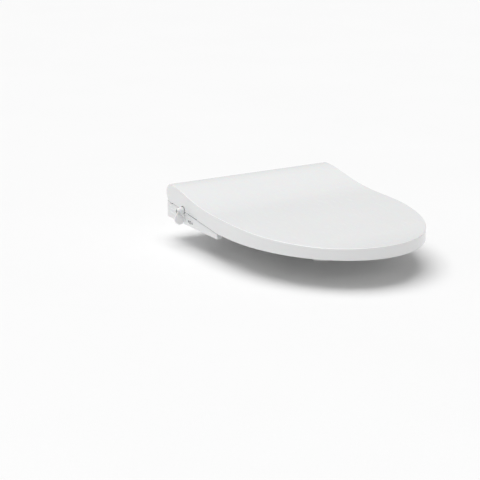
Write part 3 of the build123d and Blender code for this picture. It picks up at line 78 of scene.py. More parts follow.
class Ink:
    """A value, colour or direction that changes over a surface: one output socket of a node."""

    def __init__(self, tree, socket=None):
        self.tree = tree
        self.socket = socket

    def node(self, kind, settings=None, sockets=None, out=0):
        """Any node: its type, what is set on it first, then values or links for its sockets."""
        made = self.tree.nodes.new("ShaderNode" + kind)
        for name, value in (settings or {}).items():
            setattr(made, name, value)
        for name, value in (sockets or {}).items():
            if isinstance(value, Ink):
                self.tree.links.new(value.socket, made.inputs[name])
            else:
                made.inputs[name].default_value = value
        return Ink(self.tree, made.outputs[out])

    def maths(self, operation, first, second):
        return self.node("Math", {"operation": operation}, {0: first, 1: second})

    def __add__(self, other):
        return self.maths("ADD", self, other)

    def __radd__(self, other):
        return self.maths("ADD", other, self)

    def __sub__(self, other):
        return self.maths("SUBTRACT", self, other)

    def __rsub__(self, other):
        return self.maths("SUBTRACT", other, self)

    def __mul__(self, other):
        return self.maths("MULTIPLY", self, other)

    def __rmul__(self, other):
        return self.maths("MULTIPLY", other, self)

    def rises(self, start, end):
        """0 up to start, 1 from end on, smooth between; start may be the larger."""
        return self.node(
            "MapRange",
            {"interpolation_type": "SMOOTHSTEP"},
            {"Value": self, "From Min": start, "From Max": end},
        )

    def between(self, colour_off, colour_on):
        """The colour at 0 and the colour at 1, mixed by this value."""
        return self.node(
            "Mix",
            {"data_type": "RGBA"},
            {0: self, COLOUR_A: colour_off, COLOUR_B: colour_on},
            COLOUR_OUT,
        )

    def place(self):
        """Where a point of the piece is, in metres; it rides with the piece."""
        return self.node("TexCoord", out="Object")

    def stretched(self, scale):
        return self.node("Mapping", None, {"Vector": self.place(), "Scale": scale})

    def cloud(self, per_metre, detail=3.0, where=None):
        """Soft noise from 0 to 1 with so many lumps to the metre."""
        return self.node(
            "TexNoise",
            None,
            {"Vector": where or self.place(), "Scale": per_metre, "Detail": detail},
        )

    def edge_wear(self, reach):
        """1 along the outer and inner edges of a piece, 0 on its faces."""
        soft = self.node("Bevel", {"samples": BEVEL_SAMPLES}, {"Radius": reach})
        flat = self.node("NewGeometry", out=GEOMETRY_NORMAL)
        along = self.node(
            "VectorMath", {"operation": "DOT_PRODUCT"}, {0: soft, 1: flat}, "Value"
        )
        return along.rises(EDGE_FLAT, EDGE_ROUND)

    def painted_gap_shade(self, reach):
        """1 on open faces, falling to 0 deep in a gap: the mask for shade painted into the colour
        there.
        """
        opening = self.node(
            "AmbientOcclusion", {"samples": GAP_SAMPLES}, {"Distance": reach}, "AO"
        )
        return opening.rises(GAP_DEEP, GAP_OPEN)

    def bumped(self, height, depth, reach=0.0004):
        """The normal over a height from 0 to 1 that stands depth metres, on rounded edges."""
        soft = self.node("Bevel", {"samples": BEVEL_SAMPLES}, {"Radius": reach})
        return self.node("Bump", None, {"Height": height, "Distance": depth, "Normal": soft})


def material(name, **constants):
    """A new material, its shader's constants set, and an Ink to draw on it with."""
    made = bpy.data.materials.new(name)
    made.use_nodes = True
    shader = made.node_tree.nodes["Principled BSDF"]
    for socket, value in constants.items():
        shader.inputs[socket.replace("_", " ")].default_value = value
    return made, shader, Ink(made.node_tree)


def paint(shader, **links):
    """Feeds the shader's sockets that may change over a surface."""
    for socket, ink in links.items():
        ink.tree.links.new(ink.socket, shader.inputs[socket.replace("_", " ")])


def dress(finish, *names):
    """Puts a finish on CAD pieces, in every one of their material slots."""
    for name in names:
        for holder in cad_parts[name].material_slots:
            holder.material = finish


def grey(level):
    return (level, level, level, 1.0)


def moulded_white(name, colour, hollow, gloss, ripple=0.00004, scuffs=0.08):
    """Glossy white moulding: slow drift in tone, faint ripple, fine scuffs, and shade painted dark
    grey into its gaps.
    """
    finish, shader, ink = material(
        name, IOR=1.47, Subsurface_Weight=0.06, Subsurface_Scale=0.004, Coat_Roughness=0.05
    )
    drift = ink.cloud(7.0, 2.0)
    flow = ink.cloud(1.0, 4.0, ink.stretched((38.0, 5.0, 38.0)))
    peel = ink.cloud(160.0, 2.0)
    hair = ink.cloud(1.0, 4.0, ink.stretched((500.0, 40.0, 240.0))).rises(0.50, 0.80)
    edge = ink.edge_wear(0.0012)
    tone = (drift * 0.65 + flow * 0.35).between(hollow, colour)
    worn = (edge * 0.35).between(tone, hollow)
    paint(
        shader,
        # Painted shade: deep in gaps the colour falls to near black, standing in for the shadow in
        # the gap line.
        Base_Color=ink.painted_gap_shade(GAP_REACH).between(PAINTED_GAP_SHADE, worn),
        Roughness=gloss + drift * 0.05 + hair * scuffs + edge * 0.05,
        Coat_Weight=0.35 - hair * 0.15,
        Normal=ink.bumped(peel * 0.2 + drift * 0.8, ripple),
    )
    return finish


white_lid = moulded_white(
    "lid_gloss_white", (0.905, 0.908, 0.908, 1.0), (0.885, 0.89, 0.893, 1.0), 0.17
)
dress(white_lid, "lid_shell")

# ---------------------------------------------------------------------------- lid pads and pins
# Four soft rubber buttons are pressed into blind holes under the lid, so that it lands
# quietly on the seat. Two acetal stub pins in the roll's ends carry it on the unit.
PAD_SIDES = 40
SHARP_ANGLE = 35.0  # degrees between faces that makes an edge look sharp
SAME_POINT = 1e-7  # metres


def islands(name):
    """Lowest corner, highest corner and lie of each separate solid of a CAD node, by x.
    The lie is the angle from +X, seen from above, of the way in which the solid is longest."""
    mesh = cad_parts[name].data
    root = list(range(len(mesh.vertices)))

    def find(i):
        while root[i] != i:
            root[i] = root[root[i]]
            i = root[i]
        return i

    same = {}
    for vertex in mesh.vertices:
        key = tuple(round(c, 6) for c in vertex.co)
        root[find(vertex.index)] = find(same.setdefault(key, vertex.index))
    for side in mesh.edges:
        root[find(side.vertices[0])] = find(side.vertices[1])
    groups = {}
    for vertex in mesh.vertices:
        groups.setdefault(find(vertex.index), []).append(vertex.co)
    found = []
    for points in groups.values():
        low = Vector(min(p[i] for p in points) for i in range(3))
        high = Vector(max(p[i] for p in points) for i in range(3))
        middle = (low + high) / 2
        across = sum((p.x - middle.x) ** 2 - (p.y - middle.y) ** 2 for p in points)
        aslant = sum((p.x - middle.x) * (p.y - middle.y) for p in points)
        found.append((low, high, atan2(2 * aslant, across) / 2))
    return sorted(found, key=lambda solid: (round(solid[0].x, 4), solid[0].y))


def uprights(name):
    """Foot of the axis, radius and height of each upright round solid of a CAD node."""
    for low, high, _ in islands(name):
        foot = Vector(((low.x + high.x) / 2, (low.y + high.y) / 2, low.z))
        yield foot, (high.x - low.x) / 2, high.z - low.z


def axis_along_y(low, high):
    """Where the axis of a round solid that lies along Y passes y = 0."""
    return Vector(((low.x + high.x) / 2, 0.0, (low.z + high.z) / 2))


def new_object(name, data):
    made = bpy.data.objects.new(name, data)
    bpy.context.scene.collection.objects.link(made)
    return made


def smooth_object(name, work, finish, sharp):
    """A mesh object from a bmesh, smooth but for edges sharper than so many degrees."""
    mesh = bpy.data.meshes.new(name)
    work.to_mesh(mesh)
    work.free()
    mesh.shade_smooth()
    mesh.set_sharp_from_angle(angle=radians(sharp))
    mesh.materials.append(finish)
    return new_object(name, mesh)


def take_place(piece, body, stands_for):
    """Puts a piece on its body, in place of CAD nodes."""
    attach(piece, body)
    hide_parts(*stands_for)


def new_piece(name, mesh_maker, body, stands_for, finish, sharp=SHARP_ANGLE):
    """A finished mesh piece on a body, in place of CAD nodes, with smooth faces."""
    work = bmesh.new()
    mesh_maker(work)
    bmesh.ops.remove_doubles(work, verts=work.verts, dist=SAME_POINT)
    bmesh.ops.recalc_face_normals(work, faces=work.faces)
    take_place(smooth_object(name, work, finish, sharp), body, stands_for)


def turned(work, profile, origin, axis="Z", sides=PAD_SIDES, shape=None):
    """Turns a closed profile of (radius, height) round an axis, Z or Y, through origin.
    shape(angle, radius, height) may return another radius, as for ribs and slits."""
    rings = []
    for step in range(sides):
        angle = 2 * pi * step / sides
        ring = []
        for radius, height in profile:
            r = shape(angle, radius, height) if shape else radius
            a, b = r * cos(angle), r * sin(angle)
            local = {"Z": (a, b, height), "Y": (a, height, b)}[axis]
            ring.append(work.verts.new(Vector(local) + origin))
        rings.append(ring)
    for step in range(sides):
        here, there = rings[step], rings[(step + 1) % sides]
        for i in range(len(profile)):
            j = (i + 1) % len(profile)
            corners = [here[i], here[j], there[j], there[i]]
            on_axis = [k for k in (i, j) if profile[k][0] < SAME_POINT]
            if len(on_axis) == 2:
                continue
            if on_axis == [i]:
                corners = [here[i], here[j], there[j]]
            elif on_axis == [j]:
                corners = [here[i], here[j], there[i]]
            work.faces.new(corners)


def soft_rubber(name, colour, dark):
    """Soft rubber: matte, a little pebbled, paler where it has been handled."""
    finish, shader, ink = material(name, IOR=1.5, Specular_IOR_Level=0.35, Sheen_Weight=0.15)
    pebble = ink.cloud(1500.0, 3.0)
    smear = ink.cloud(160.0, 5.0)
    edge = ink.edge_wear(0.0008)
    paint(
        shader,
        Base_Color=(smear * 0.6 + edge * 0.4).between(dark, colour),
        Roughness=0.62 + smear * 0.18 - edge * 0.08,
        Normal=ink.bumped(pebble, 0.00006),
    )
    return finish


rubber_grey = soft_rubber("rubber_pale_grey", (0.66, 0.66, 0.65, 1.0), (0.52, 0.52, 0.51, 1.0))


def lid_pads(work):
    for foot, r, tall in uprights("lid_bumpers"):
        turned(
            work,
            [
                (0, 0.0004), (0.25 * r, 0), (0.55 * r, 0.0002), (0.8 * r, 0.0009),
                (0.93 * r, 0.0018), (0.99 * r, 0.0031), (0.99 * r, 0.45 * tall),
                (0.93 * r, 0.5 * tall), (0.99 * r, 0.55 * tall), (0.99 * r, 0.94 * tall),
                (0, 0.96 * tall),
            ],
            foot,
        )


new_piece("lid_landing_pads", lid_pads, "lid", ["lid_bumpers"], rubber_grey)


def acetal_finish(name, colour, dark):
    """Machined or moulded acetal: waxy, with fine turning lines and a warm drift."""
    finish, shader, ink = material(name, IOR=1.48, Subsurface_Weight=0.12, Subsurface_Scale=0.003)
    lines = ink.cloud(1.0, 2.0, ink.stretched((2600.0, 160.0, 160.0)))
    drift = ink.cloud(70.0, 3.0)
    paint(
        shader,
        Base_Color=drift.between(dark, colour),
        Roughness=0.34 + lines * 0.16 + drift * 0.05,
        Normal=ink.bumped(lines, 0.00003),
    )
    return finish


acetal = acetal_finish("acetal_natural", (0.82, 0.82, 0.80, 1.0), (0.76, 0.755, 0.73, 1.0))
dress(acetal, "lid_pin_left", "lid_pin_right", "seat_shaft")

# ---------------------------------------------------------------------------- seat ring
# The ring is two white mouldings that meet in a step line: a rounded upper shell that a
# person sits on, polished and a little warmer than the lid, and a flatter lower plate.
white_seat = moulded_white(
    "seat_gloss_white", (0.90, 0.90, 0.893, 1.0), (0.875, 0.877, 0.87, 1.0), 0.20, scuffs=0.14
)
dress(white_seat, "seat_top_shell", "seat_bottom_plate")

# ---------------------------------------------------------------------------- under the seat
# Four oblong rubber pads under the ring carry the weight on the rim below. Stainless
# screws hold the lower plate up. A foil heater and its sensor lie against the shell.
RIM_STEPS = 9
PAD_LONG_HALF, PAD_SHORT_HALF, PAD_CORNER = 0.0149, 0.0064, 0.0049
PAD_GROOVE = 0.0035  # from the sole up to the groove's lower lip
PAD_GROOVE_HALF = 0.0006


def oblong(work, low, high, turn):
    """A soft oblong block lying along the ring, with a rounded sole and a shallow groove."""
    middle = (low + high) / 2
    outline = []
    for qx, qy, start in ((1, 1, 0), (-1, 1, 90), (-1, -1, 180), (1, -1, 270)):
        for step in range(RIM_STEPS):
            a = radians(start + 90 * step / (RIM_STEPS - 1))
            outline.append(
                (
                    qx * (PAD_LONG_HALF - PAD_CORNER) + PAD_CORNER * cos(a),
                    qy * (PAD_SHORT_HALF - PAD_CORNER) + PAD_CORNER * sin(a),
                )
            )
    levels = [
        (0.72, 0.0002), (0.86, 0.0), (0.95, 0.0006), (0.99, 0.0016), (1.0, PAD_GROOVE),
        (0.97, PAD_GROOVE + PAD_GROOVE_HALF), (1.0, PAD_GROOVE + 2 * PAD_GROOVE_HALF),
        (1.0, high.z - low.z),
    ]
    rings = []
    for share, up in levels:
        ring = []
        for u, v in outline:
            x = u - (1 - share) * PAD_SHORT_HALF * (u / PAD_LONG_HALF)
            y = v * share
            ring.append(
                work.verts.new(
                    (
                        middle.x + x * cos(turn) - y * sin(turn),
                        middle.y + x * sin(turn) + y * cos(turn),
                        low.z + up,
                    )
                )
            )
        rings.append(ring)
    count = len(outline)
    for under, over in zip(rings, rings[1:]):
        for i in range(count):
            j = (i + 1) % count
            work.faces.new((under[i], under[j], over[j], over[i]))
    work.faces.new(list(reversed(rings[0])))
    work.faces.new(rings[-1])


def seat_pads(work):
    for low, high, lie in islands("seat_bumpers"):
        oblong(work, low, high, lie)


new_piece("seat_rest_pads", seat_pads, "seat", ["seat_bumpers"], rubber_grey)


def bright_steel(name, colour, dark, lines=(60.0, 60.0, 2200.0), gloss=0.24):
    """Stainless steel: drawn or turned lines, cleaner on the edges, dull in the hollows."""
    finish, shader, ink = material(name, Metallic=1.0, IOR=2.5)
    drawn = ink.cloud(1.0, 3.0, ink.stretched(lines))
    stain = ink.cloud(220.0, 4.0)
    edge = ink.edge_wear(0.0005)
    paint(
        shader,
        Base_Color=(stain * 0.5 + edge * 0.5).between(dark, colour),
        Roughness=gloss + drawn * 0.14 + stain * 0.08 - edge * 0.06,
        Normal=ink.bumped(drawn, 0.00002, reach=0.0002),
    )
    return finish


steel = bright_steel("stainless_steel", (0.72, 0.73, 0.74, 1.0), (0.50, 0.51, 0.52, 1.0))
dress(steel, "seat_screws")

foil, foil_shader, ink = material("heater_foil", IOR=1.6)
track = ink.node(
    "TexWave", {"wave_type": "BANDS", "bands_direction": "Y"},
    {"Vector": ink.place(), "Scale": 42.0, "Distortion": 1.5, "Detail": 1.0},
)
copper = track.rises(0.62, 0.72)
creases = ink.cloud(330.0, 5.0)
paint(
    foil_shader,
    Base_Color=copper.between((0.74, 0.73, 0.71, 1.0), (0.66, 0.38, 0.22, 1.0)),
    Metallic=0.85 - copper * 0.1,
    Roughness=0.28 + creases * 0.22,
    Normal=ink.bumped(creases * 0.8 + copper * 0.2, 0.00008),
)
dress(foil, "seat_heater_foil")


def black_moulding(name, colour, dark, gloss=0.38):
    """Black glass-filled plastic: spark-eroded grain, greyer along the edges."""
    finish, shader, ink = material(name, IOR=1.52)
    grain = ink.cloud(1900.0, 3.0)
    drift = ink.cloud(60.0, 4.0)
    edge = ink.edge_wear(0.0007)
    paint(
        shader,
        Base_Color=(drift * 0.5 + edge * 0.5).between(dark, colour),
        Roughness=gloss + grain * 0.15 + drift * 0.08,
        Normal=ink.bumped(grain, 0.00004),
    )
    return finish


coil_black = black_moulding(
    "black_moulding", (0.085, 0.085, 0.09, 1.0), (0.035, 0.035, 0.04, 1.0)
)
dress(coil_black, "seat_sensor", "seat_damper", "lid_damper", "solenoid_valve")

# ---------------------------------------------------------------------------- rear unit case
# The case behind the ring is a floor tray and a cover, screwed together from below,
# with a separate white panel each side that fills the gap under the lid.
white_shell = moulded_white(
    "case_gloss_white", (0.90, 0.903, 0.905, 1.0), (0.87, 0.877, 0.882, 1.0), 0.22, ripple=0.00006
)
dress(white_shell, "base_tray", "unit_cover", "side_panel_left", "side_panel_right", "nozzle_guard")

# ---------------------------------------------------------------------------- lever marks
# A plain ring and two arrowheads beside the lever, pad-printed in dark grey on slightly
# raised lands: off in the middle and one wash to each side.
print_grey, print_shader, ink = material("pad_print_grey", IOR=1.5)
speckle = ink.cloud(2600.0, 3.0)
thin = ink.cloud(500.0, 4.0).rises(0.50, 0.68)
paint(
    print_shader,
    Base_Color=(thin * 0.5).between((0.20, 0.21, 0.22, 1.0), (0.36, 0.37, 0.38, 1.0)),
    Roughness=0.42 + speckle * 0.20,
    Normal=ink.bumped(speckle, 0.00002),
)
dress(print_grey, "lever_marks")

# ---------------------------------------------------------------------------- unit feet and screws
# Round rubber feet sit in pockets of the tray, with rings moulded into their soles so
# that they grip. Pan-head stainless screws beside them close the case from below.
FOOT_RINGS = 4
FOOT_HOLLOW = 0.0005  # depth between the rings
FIRST_RING, RING_PITCH = 0.16, 0.2  # shares of the foot's radius


def feet(work):
    for foot, r, tall in uprights("unit_feet"):
        sole = [(0, FOOT_HOLLOW)]
        for ring in range(FOOT_RINGS):
            start = FIRST_RING * r + ring * RING_PITCH * r
            sole += [
                (start, FOOT_HOLLOW), (start + 0.02 * r, 0),
                (start + 0.1 * r, 0), (start + 0.12 * r, FOOT_HOLLOW),
            ]
        turned(work, sole + [(0.97 * r, 0.0006), (r, 0.0011), (r, tall), (0, tall)], foot)


new_piece("unit_foot_pads", feet, "rear_unit", ["unit_feet"], rubber_grey)
dress(steel, "case_screws")

# ---------------------------------------------------------------------------- lever
# A satin white lever on the user's right works the wash by hand. A round drum sits
# on the valve's spindle, and a flattened stem hangs from it and widens to a finger paddle.
LEVER_ROUNDING = 0.0007
CAD_WELD = 2e-6  # metres between points of a CAD mesh that are the same corner
CAD_FLAT = 1.0  # degrees between CAD facets that are the same face
EDGE_ANGLE = 40.0  # degrees from which an edge is rounded
ROUNDING_STEPS = 3


def softened(name, node, body, finish, rounding):
    """A copy of a CAD piece with its sharp moulded edges rounded, in the piece's place."""
    work = bmesh.new()
    work.from_mesh(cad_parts[node].data)
    bmesh.ops.remove_doubles(work, verts=work.verts, dist=CAD_WELD)
    bmesh.ops.dissolve_limit(
        work,
        angle_limit=radians(CAD_FLAT),
        verts=work.verts,
        edges=work.edges,
        delimit={"NORMAL"},
    )
    piece = smooth_object(name, work, finish, SHARP_ANGLE)
    bevel = piece.modifiers.new("rounding", "BEVEL")
    bevel.width = rounding
    bevel.segments = ROUNDING_STEPS
    bevel.limit_method = "ANGLE"
    bevel.angle_limit = radians(EDGE_ANGLE)
    bevel.use_clamp_overlap = True
    take_place(piece, body, [node])


satin_white, satin_shader, ink = material(
    "lever_satin_white", IOR=1.47, Subsurface_Weight=0.08, Subsurface_Scale=0.003
)
handled = ink.cloud(130.0, 5.0)
sparks = ink.cloud(2400.0, 2.0)
rubbed = ink.edge_wear(0.0012)
paint(
    satin_shader,
    Base_Color=(handled * 0.6 + rubbed * 0.4).between(
        (0.875, 0.88, 0.882, 1.0), (0.91, 0.913, 0.915, 1.0)
    ),
    Roughness=0.30 + sparks * 0.08 + handled * 0.07 - rubbed * 0.10,
    Normal=ink.bumped(sparks, 0.00003),
)
softened("lever_grip", "lever_handle", "lever", satin_white, LEVER_ROUNDING)
dress(steel, "lever_screw")

# ---------------------------------------------------------------------------- lever valve
# Behind the lever a small valve shares the water out: two lapped ceramic discs with
# slots, the inner fixed, the outer turned by the spindle, in an acetal body and bonnet.
lapped, lapped_shader, ink = material("lapped_ceramic", IOR=1.7, Subsurface_Weight=0.05)
pores = ink.node("TexVoronoi", None, {"Vector": ink.place(), "Scale": 2200.0})
lap = ink.cloud(1.0, 4.0, ink.stretched((90.0, 1400.0, 1400.0)))
paint(
    lapped_shader,
    Base_Color=pores.rises(0.10, 0.0).between((0.88, 0.86, 0.82, 1.0), (0.74, 0.71, 0.66, 1.0)),
    Roughness=0.12 + lap * 0.14,
    Normal=ink.bumped(lap, 0.00001, reach=0.0002),
)
dress(lapped, "fixed_ceramic_disc", "moving_ceramic_disc")
dress(acetal, "valve_body", "valve_bonnet", "lever_spindle")

# ---------------------------------------------------------------------------- water inlet
# The supply hose screws on a brass tail at the rear: a turned body with a half-inch
# parallel thread, a flange inside the wall, and a stainless gauze cup in its mouth.
THREAD_PITCH = 0.00181
THREAD_DEPTH = 0.0011
THREAD_SIDES = 48
THREAD_R, THREAD_LONG = 0.0104, 0.012
THREAD_FLANK, THREAD_LAND = 0.46, 0.06  # half widths at root and crest, in pitches
THREAD_SUNK = 0.0002  # how far the ridge reaches into the root
RUN_OUT = 0.4  # turns over which the ridge fades
NECK_R, BODY_R, BORE_R, WATER_R = 0.0080, 0.0080, 0.0065, 0.0040
WALL_ROOM = 0.0033  # from the flange to the thread, through the wall
FLANGE_T = 0.0047
TURNED_CHAMFER = 0.0004

inlet_low, inlet_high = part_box("inlet_fitting")
inlet_r = (inlet_high.x - inlet_low.x) / 2
inlet_axis = axis_along_y(inlet_low, inlet_high)
thread_start = inlet_high.y - THREAD_LONG
wall_inner = thread_start - WALL_ROOM


def brass_tail(work):
    """The turned body, with the thread's root; the crest is wound on after."""
    root = THREAD_R - THREAD_DEPTH
    flange_back = wall_inner - FLANGE_T
    turned(
        work,
        [
            (WATER_R, inlet_low.y), (BODY_R - 0.0005, inlet_low.y),
            (BODY_R, inlet_low.y + 0.0005), (BODY_R, flange_back),
            (inlet_r - TURNED_CHAMFER, flange_back), (inlet_r, flange_back + TURNED_CHAMFER),
            (inlet_r, wall_inner - TURNED_CHAMFER), (inlet_r - TURNED_CHAMFER, wall_inner),
            (NECK_R, wall_inner), (NECK_R, thread_start),
            (root, thread_start + 0.0002), (root, inlet_high.y - 0.0003),
            (root - TURNED_CHAMFER, inlet_high.y), (BORE_R + TURNED_CHAMFER, inlet_high.y),
            (BORE_R, inlet_high.y - TURNED_CHAMFER), (BORE_R, thread_start),
            (WATER_R, thread_start),
        ],
        inlet_axis,
        axis="Y",
        sides=THREAD_SIDES,
    )
    wind_thread(work, inlet_axis, thread_start + 0.0008, inlet_high.y - 0.0010, root, THREAD_R)


def wind_thread(work, axis_at, start, end, root, crest):
    """One vee ridge wound round an axis along Y, running out to nothing at both ends."""
    turns = (end - start) / THREAD_PITCH
    steps = int(turns * THREAD_SIDES)
    rows = []
    for step in range(steps + 1):
        share = step / steps
        fade = min(1.0, share * turns / RUN_OUT, (1 - share) * turns / RUN_OUT)
        angle = 2 * pi * turns * share
        along = start + (end - start) * share
        top = root + (crest - root) * max(fade, 0.03)
        flank, land = THREAD_FLANK * THREAD_PITCH, THREAD_LAND * THREAD_PITCH
        section = (
            (root - THREAD_SUNK, along - flank), (top, along - land),
            (top, along + land), (root - THREAD_SUNK, along + flank),
        )
        rows.append(
            [
                work.verts.new(axis_at + Vector((r * cos(angle), y, r * sin(angle))))
                for r, y in section
            ]
        )
    for here, there in zip(rows, rows[1:]):
        for i in range(len(here)):
            j = (i + 1) % len(here)
            work.faces.new((here[i], here[j], there[j], there[i]))
    work.faces.new(rows[0])
    work.faces.new(list(reversed(rows[-1])))


brass, brass_shader, ink = material("turned_brass", Metallic=1.0, IOR=1.9)
turning = ink.cloud(1.0, 3.0, ink.stretched((140.0, 3000.0, 140.0)))
tarnish = ink.cloud(180.0, 5.0).rises(0.42, 0.70)
bright = ink.edge_wear(0.0006)
paint(
    brass_shader,
    Base_Color=(tarnish * 0.8).between((0.80, 0.62, 0.32, 1.0), (0.50, 0.35, 0.17, 1.0)),
    Roughness=0.22 + turning * 0.14 + tarnish * 0.16 - bright * 0.06,
    Normal=ink.bumped(turning, 0.00003, reach=0.0002),
)
new_piece(
    "brass_inlet_tail", brass_tail, "rear_unit", ["inlet_fitting"], brass,
    sharp=28.0,
)

gauze, gauze_shader, ink = material("strainer_gauze", Metallic=1.0)
weft, warp = (
    ink.node(
        "TexWave",
        {"wave_type": "BANDS", "bands_direction": direction},
        {"Vector": ink.place(), "Scale": 420.0},
    )
    for direction in "XZ"
)
wires = ink.maths("MAXIMUM", weft, warp)
paint(
    gauze_shader,
    # The spaces between the wires are painted near black: painted shade for the dark bore seen
    # through the gauze.
    Base_Color=wires.rises(0.35, 0.75).between(grey(0.05), (0.60, 0.61, 0.62, 1.0)),
    Roughness=0.45 - wires * 0.15,
    Normal=ink.bumped(wires, 0.00012, reach=0.0001),
)
dress(gauze, "inlet_strainer")

# ---------------------------------------------------------------------------- water path
# From the inlet the water passes a solenoid valve and a flow turbine, then the heater in
# its heat-resistant shell, and clear silicone hoses take it to the lever valve and wands.
dress(steel, "solenoid_plunger")
dress(acetal, "flow_sensor_housing", "flow_turbine")

heater_cream, heater_shader, ink = material("heater_shell_cream", IOR=1.5)
flow_marks = ink.cloud(1.0, 4.0, ink.stretched((20.0, 140.0, 140.0)))
fibres = ink.cloud(1400.0, 3.0)
singed = ink.cloud(45.0, 5.0).rises(0.50, 0.78)
paint(
    heater_shader,
    Base_Color=(singed * 0.55).between((0.72, 0.69, 0.60, 1.0), (0.56, 0.50, 0.38, 1.0)),
    Roughness=0.46 + flow_marks * 0.12 + fibres * 0.08,
    Normal=ink.bumped(flow_marks * 0.5 + fibres * 0.5, 0.00007),
)
dress(heater_cream, "heater_module")

silicone, silicone_shader, ink = material(
    "clear_silicone", IOR=1.41, Transmission_Weight=0.55, Subsurface_Weight=0.1
)
bloom = ink.cloud(240.0, 4.0)
paint(
    silicone_shader,
    Base_Color=bloom.between((0.78, 0.80, 0.82, 1.0), (0.90, 0.91, 0.92, 1.0)),
    Roughness=0.28 + bloom * 0.20,
    Normal=ink.bumped(bloom, 0.00004),
)
dress(silicone, "hose_inlet", "hose_heater_valve", "hose_front_nozzle", "hose_rear_nozzle")

# ---------------------------------------------------------------------------- control board
# The board lies in a grey tray on top of the heater: green solder mask over copper
# tracks, with tinned pads.
board, board_shader, ink = material("solder_mask_board", IOR=1.5)
tracks = ink.node(
    "TexBrick", {"offset": 0.37, "offset_frequency": 3},
    {
        "Vector": ink.place(), "Scale": 150.0, "Mortar Size": 0.035, "Brick Width": 0.9,
        "Row Height": 0.28, "Color1": grey(0.0), "Color2": grey(0.0), "Mortar": grey(1.0),
    },
    "Fac",
)
pads = ink.node(
    "TexVoronoi", {"distance": "CHEBYCHEV"}, {"Vector": ink.place(), "Scale": 190.0}
).rises(0.20, 0.17)
mask_green = tracks.between((0.025, 0.16, 0.075, 1.0), (0.055, 0.30, 0.14, 1.0))
paint(
    board_shader,
    Base_Color=pads.between(mask_green, (0.70, 0.71, 0.70, 1.0)),
    Metallic=pads * 0.9,
    Roughness=0.34 - pads * 0.10 + tracks * 0.05,
    Normal=ink.bumped(tracks * 0.4 + pads * 0.6, 0.0001),
)
dress(board, "control_board")

board_tray = black_moulding(
    "board_tray_grey", (0.30, 0.31, 0.33, 1.0), (0.20, 0.21, 0.23, 1.0), gloss=0.45
)
dress(board_tray, "board_cover")

# ---------------------------------------------------------------------------- cable gland
# The mains lead would leave the rear wall through this black gland: a ribbed nut
# outside, a flange and a lock ring inside, with a smooth bore for the lead.
GLAND_RIBS, GLAND_SIDES = 12, 96
GLAND_RIB_DEEP = 0.00035
GLAND_BORE = 0.0036
LOCK_RING_T = 0.0038


def gland(work):
    low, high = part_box("power_gland")
    nut_r = (high.x - low.x) / 2
    body = nut_r - 0.002
    wall_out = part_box("unit_cover")[1].y

    def ribbed(angle, radius, height):
        if radius < nut_r - 0.0006 or height < wall_out - 0.0005:
            return radius
        return radius - GLAND_RIB_DEEP * (1 + cos(GLAND_RIBS * angle)) / 2

    turned(
        work,
        [
            (GLAND_BORE, low.y), (nut_r - 0.0003, low.y), (nut_r, low.y + 0.0003),
            (nut_r, low.y + LOCK_RING_T - 0.0003), (nut_r - 0.0003, low.y + LOCK_RING_T),
            (body, low.y + LOCK_RING_T), (body, wall_out),
            (nut_r - 0.0004, wall_out), (nut_r, wall_out + 0.0004),
            (nut_r, high.y - 0.0005), (nut_r - 0.0005, high.y), (GLAND_BORE + 0.0007, high.y),
            (GLAND_BORE + 0.0001, high.y - 0.0005), (GLAND_BORE, high.y - 0.0011),
        ],
        axis_along_y(low, high),
        axis="Y",
        sides=GLAND_SIDES,
        shape=ribbed,
    )


new_piece("cable_gland", gland, "rear_unit", ["power_gland"], coil_black)

# ---------------------------------------------------------------------------- nozzles
# Two slim white wands run side by side in an acetal housing that leans down to the bowl.
# Water pressure drives them out against stainless springs; lip seals ride on their heels.
wand_white = moulded_white(
    "wand_gloss_white", (0.86, 0.87, 0.88, 1.0), (0.80, 0.81, 0.83, 1.0), 0.14, ripple=0.00002
)
dress(
    wand_white, "rear_nozzle_tube", "rear_nozzle_tip", "front_nozzle_tube", "front_nozzle_tip"
)
dress(rubber_grey, "rear_nozzle_seal", "front_nozzle_seal")
dress(steel, "rear_nozzle_spring", "front_nozzle_spring")
dress(acetal, "nozzle_housing")

# ---------------------------------------------------------------------------- deck bracket
# A flat white plate stays on the china. Two slotted blocks in it take up the hole
# spacing, and under it lies a thin grey pad that keeps it from creeping.
bracket_white, bracket_shader, ink = material("bracket_grained_white", IOR=1.5)
fibre = ink.cloud(1.0, 4.0, ink.stretched((500.0, 90.0, 500.0)))
pits = ink.cloud(1700.0, 3.0)
bruised = ink.edge_wear(0.0012)
paint(
    bracket_shader,
    Base_Color=(fibre * 0.6 + bruised * 0.4).between(
        (0.74, 0.74, 0.72, 1.0), (0.81, 0.81, 0.79, 1.0)
    ),
    Roughness=0.48 + pits * 0.12 + fibre * 0.08,
    Normal=ink.bumped(pits * 0.6 + fibre * 0.4, 0.00007),
)
dress(bracket_white, "mounting_plate", "adjuster_blocks")
dress(rubber_grey, "deck_pad")
dress(steel, "fixing_bolts")

# ---------------------------------------------------------------------------- rubber anchors
# The bolts pull up black rubber anchors in the blind holes of the deck, which swell as
# they are squeezed. Each has ribs to grip the hole and four slits up from its foot.
rubber_black = soft_rubber("rubber_black", grey(0.075), grey(0.03))
ANCHOR_SIDES = 64
ANCHOR_RIBS = 7
ANCHOR_SLITS = 4
FIRST_RIB, RIB_PITCH = 0.0030, 0.0042  # up from the anchor's foot
RIB_DEEP = 0.0011
SLIT_HALF, SLIT_TALL, SLIT_DEEP = 0.0007, 0.020, 0.0022
BOLT_R = 0.00305


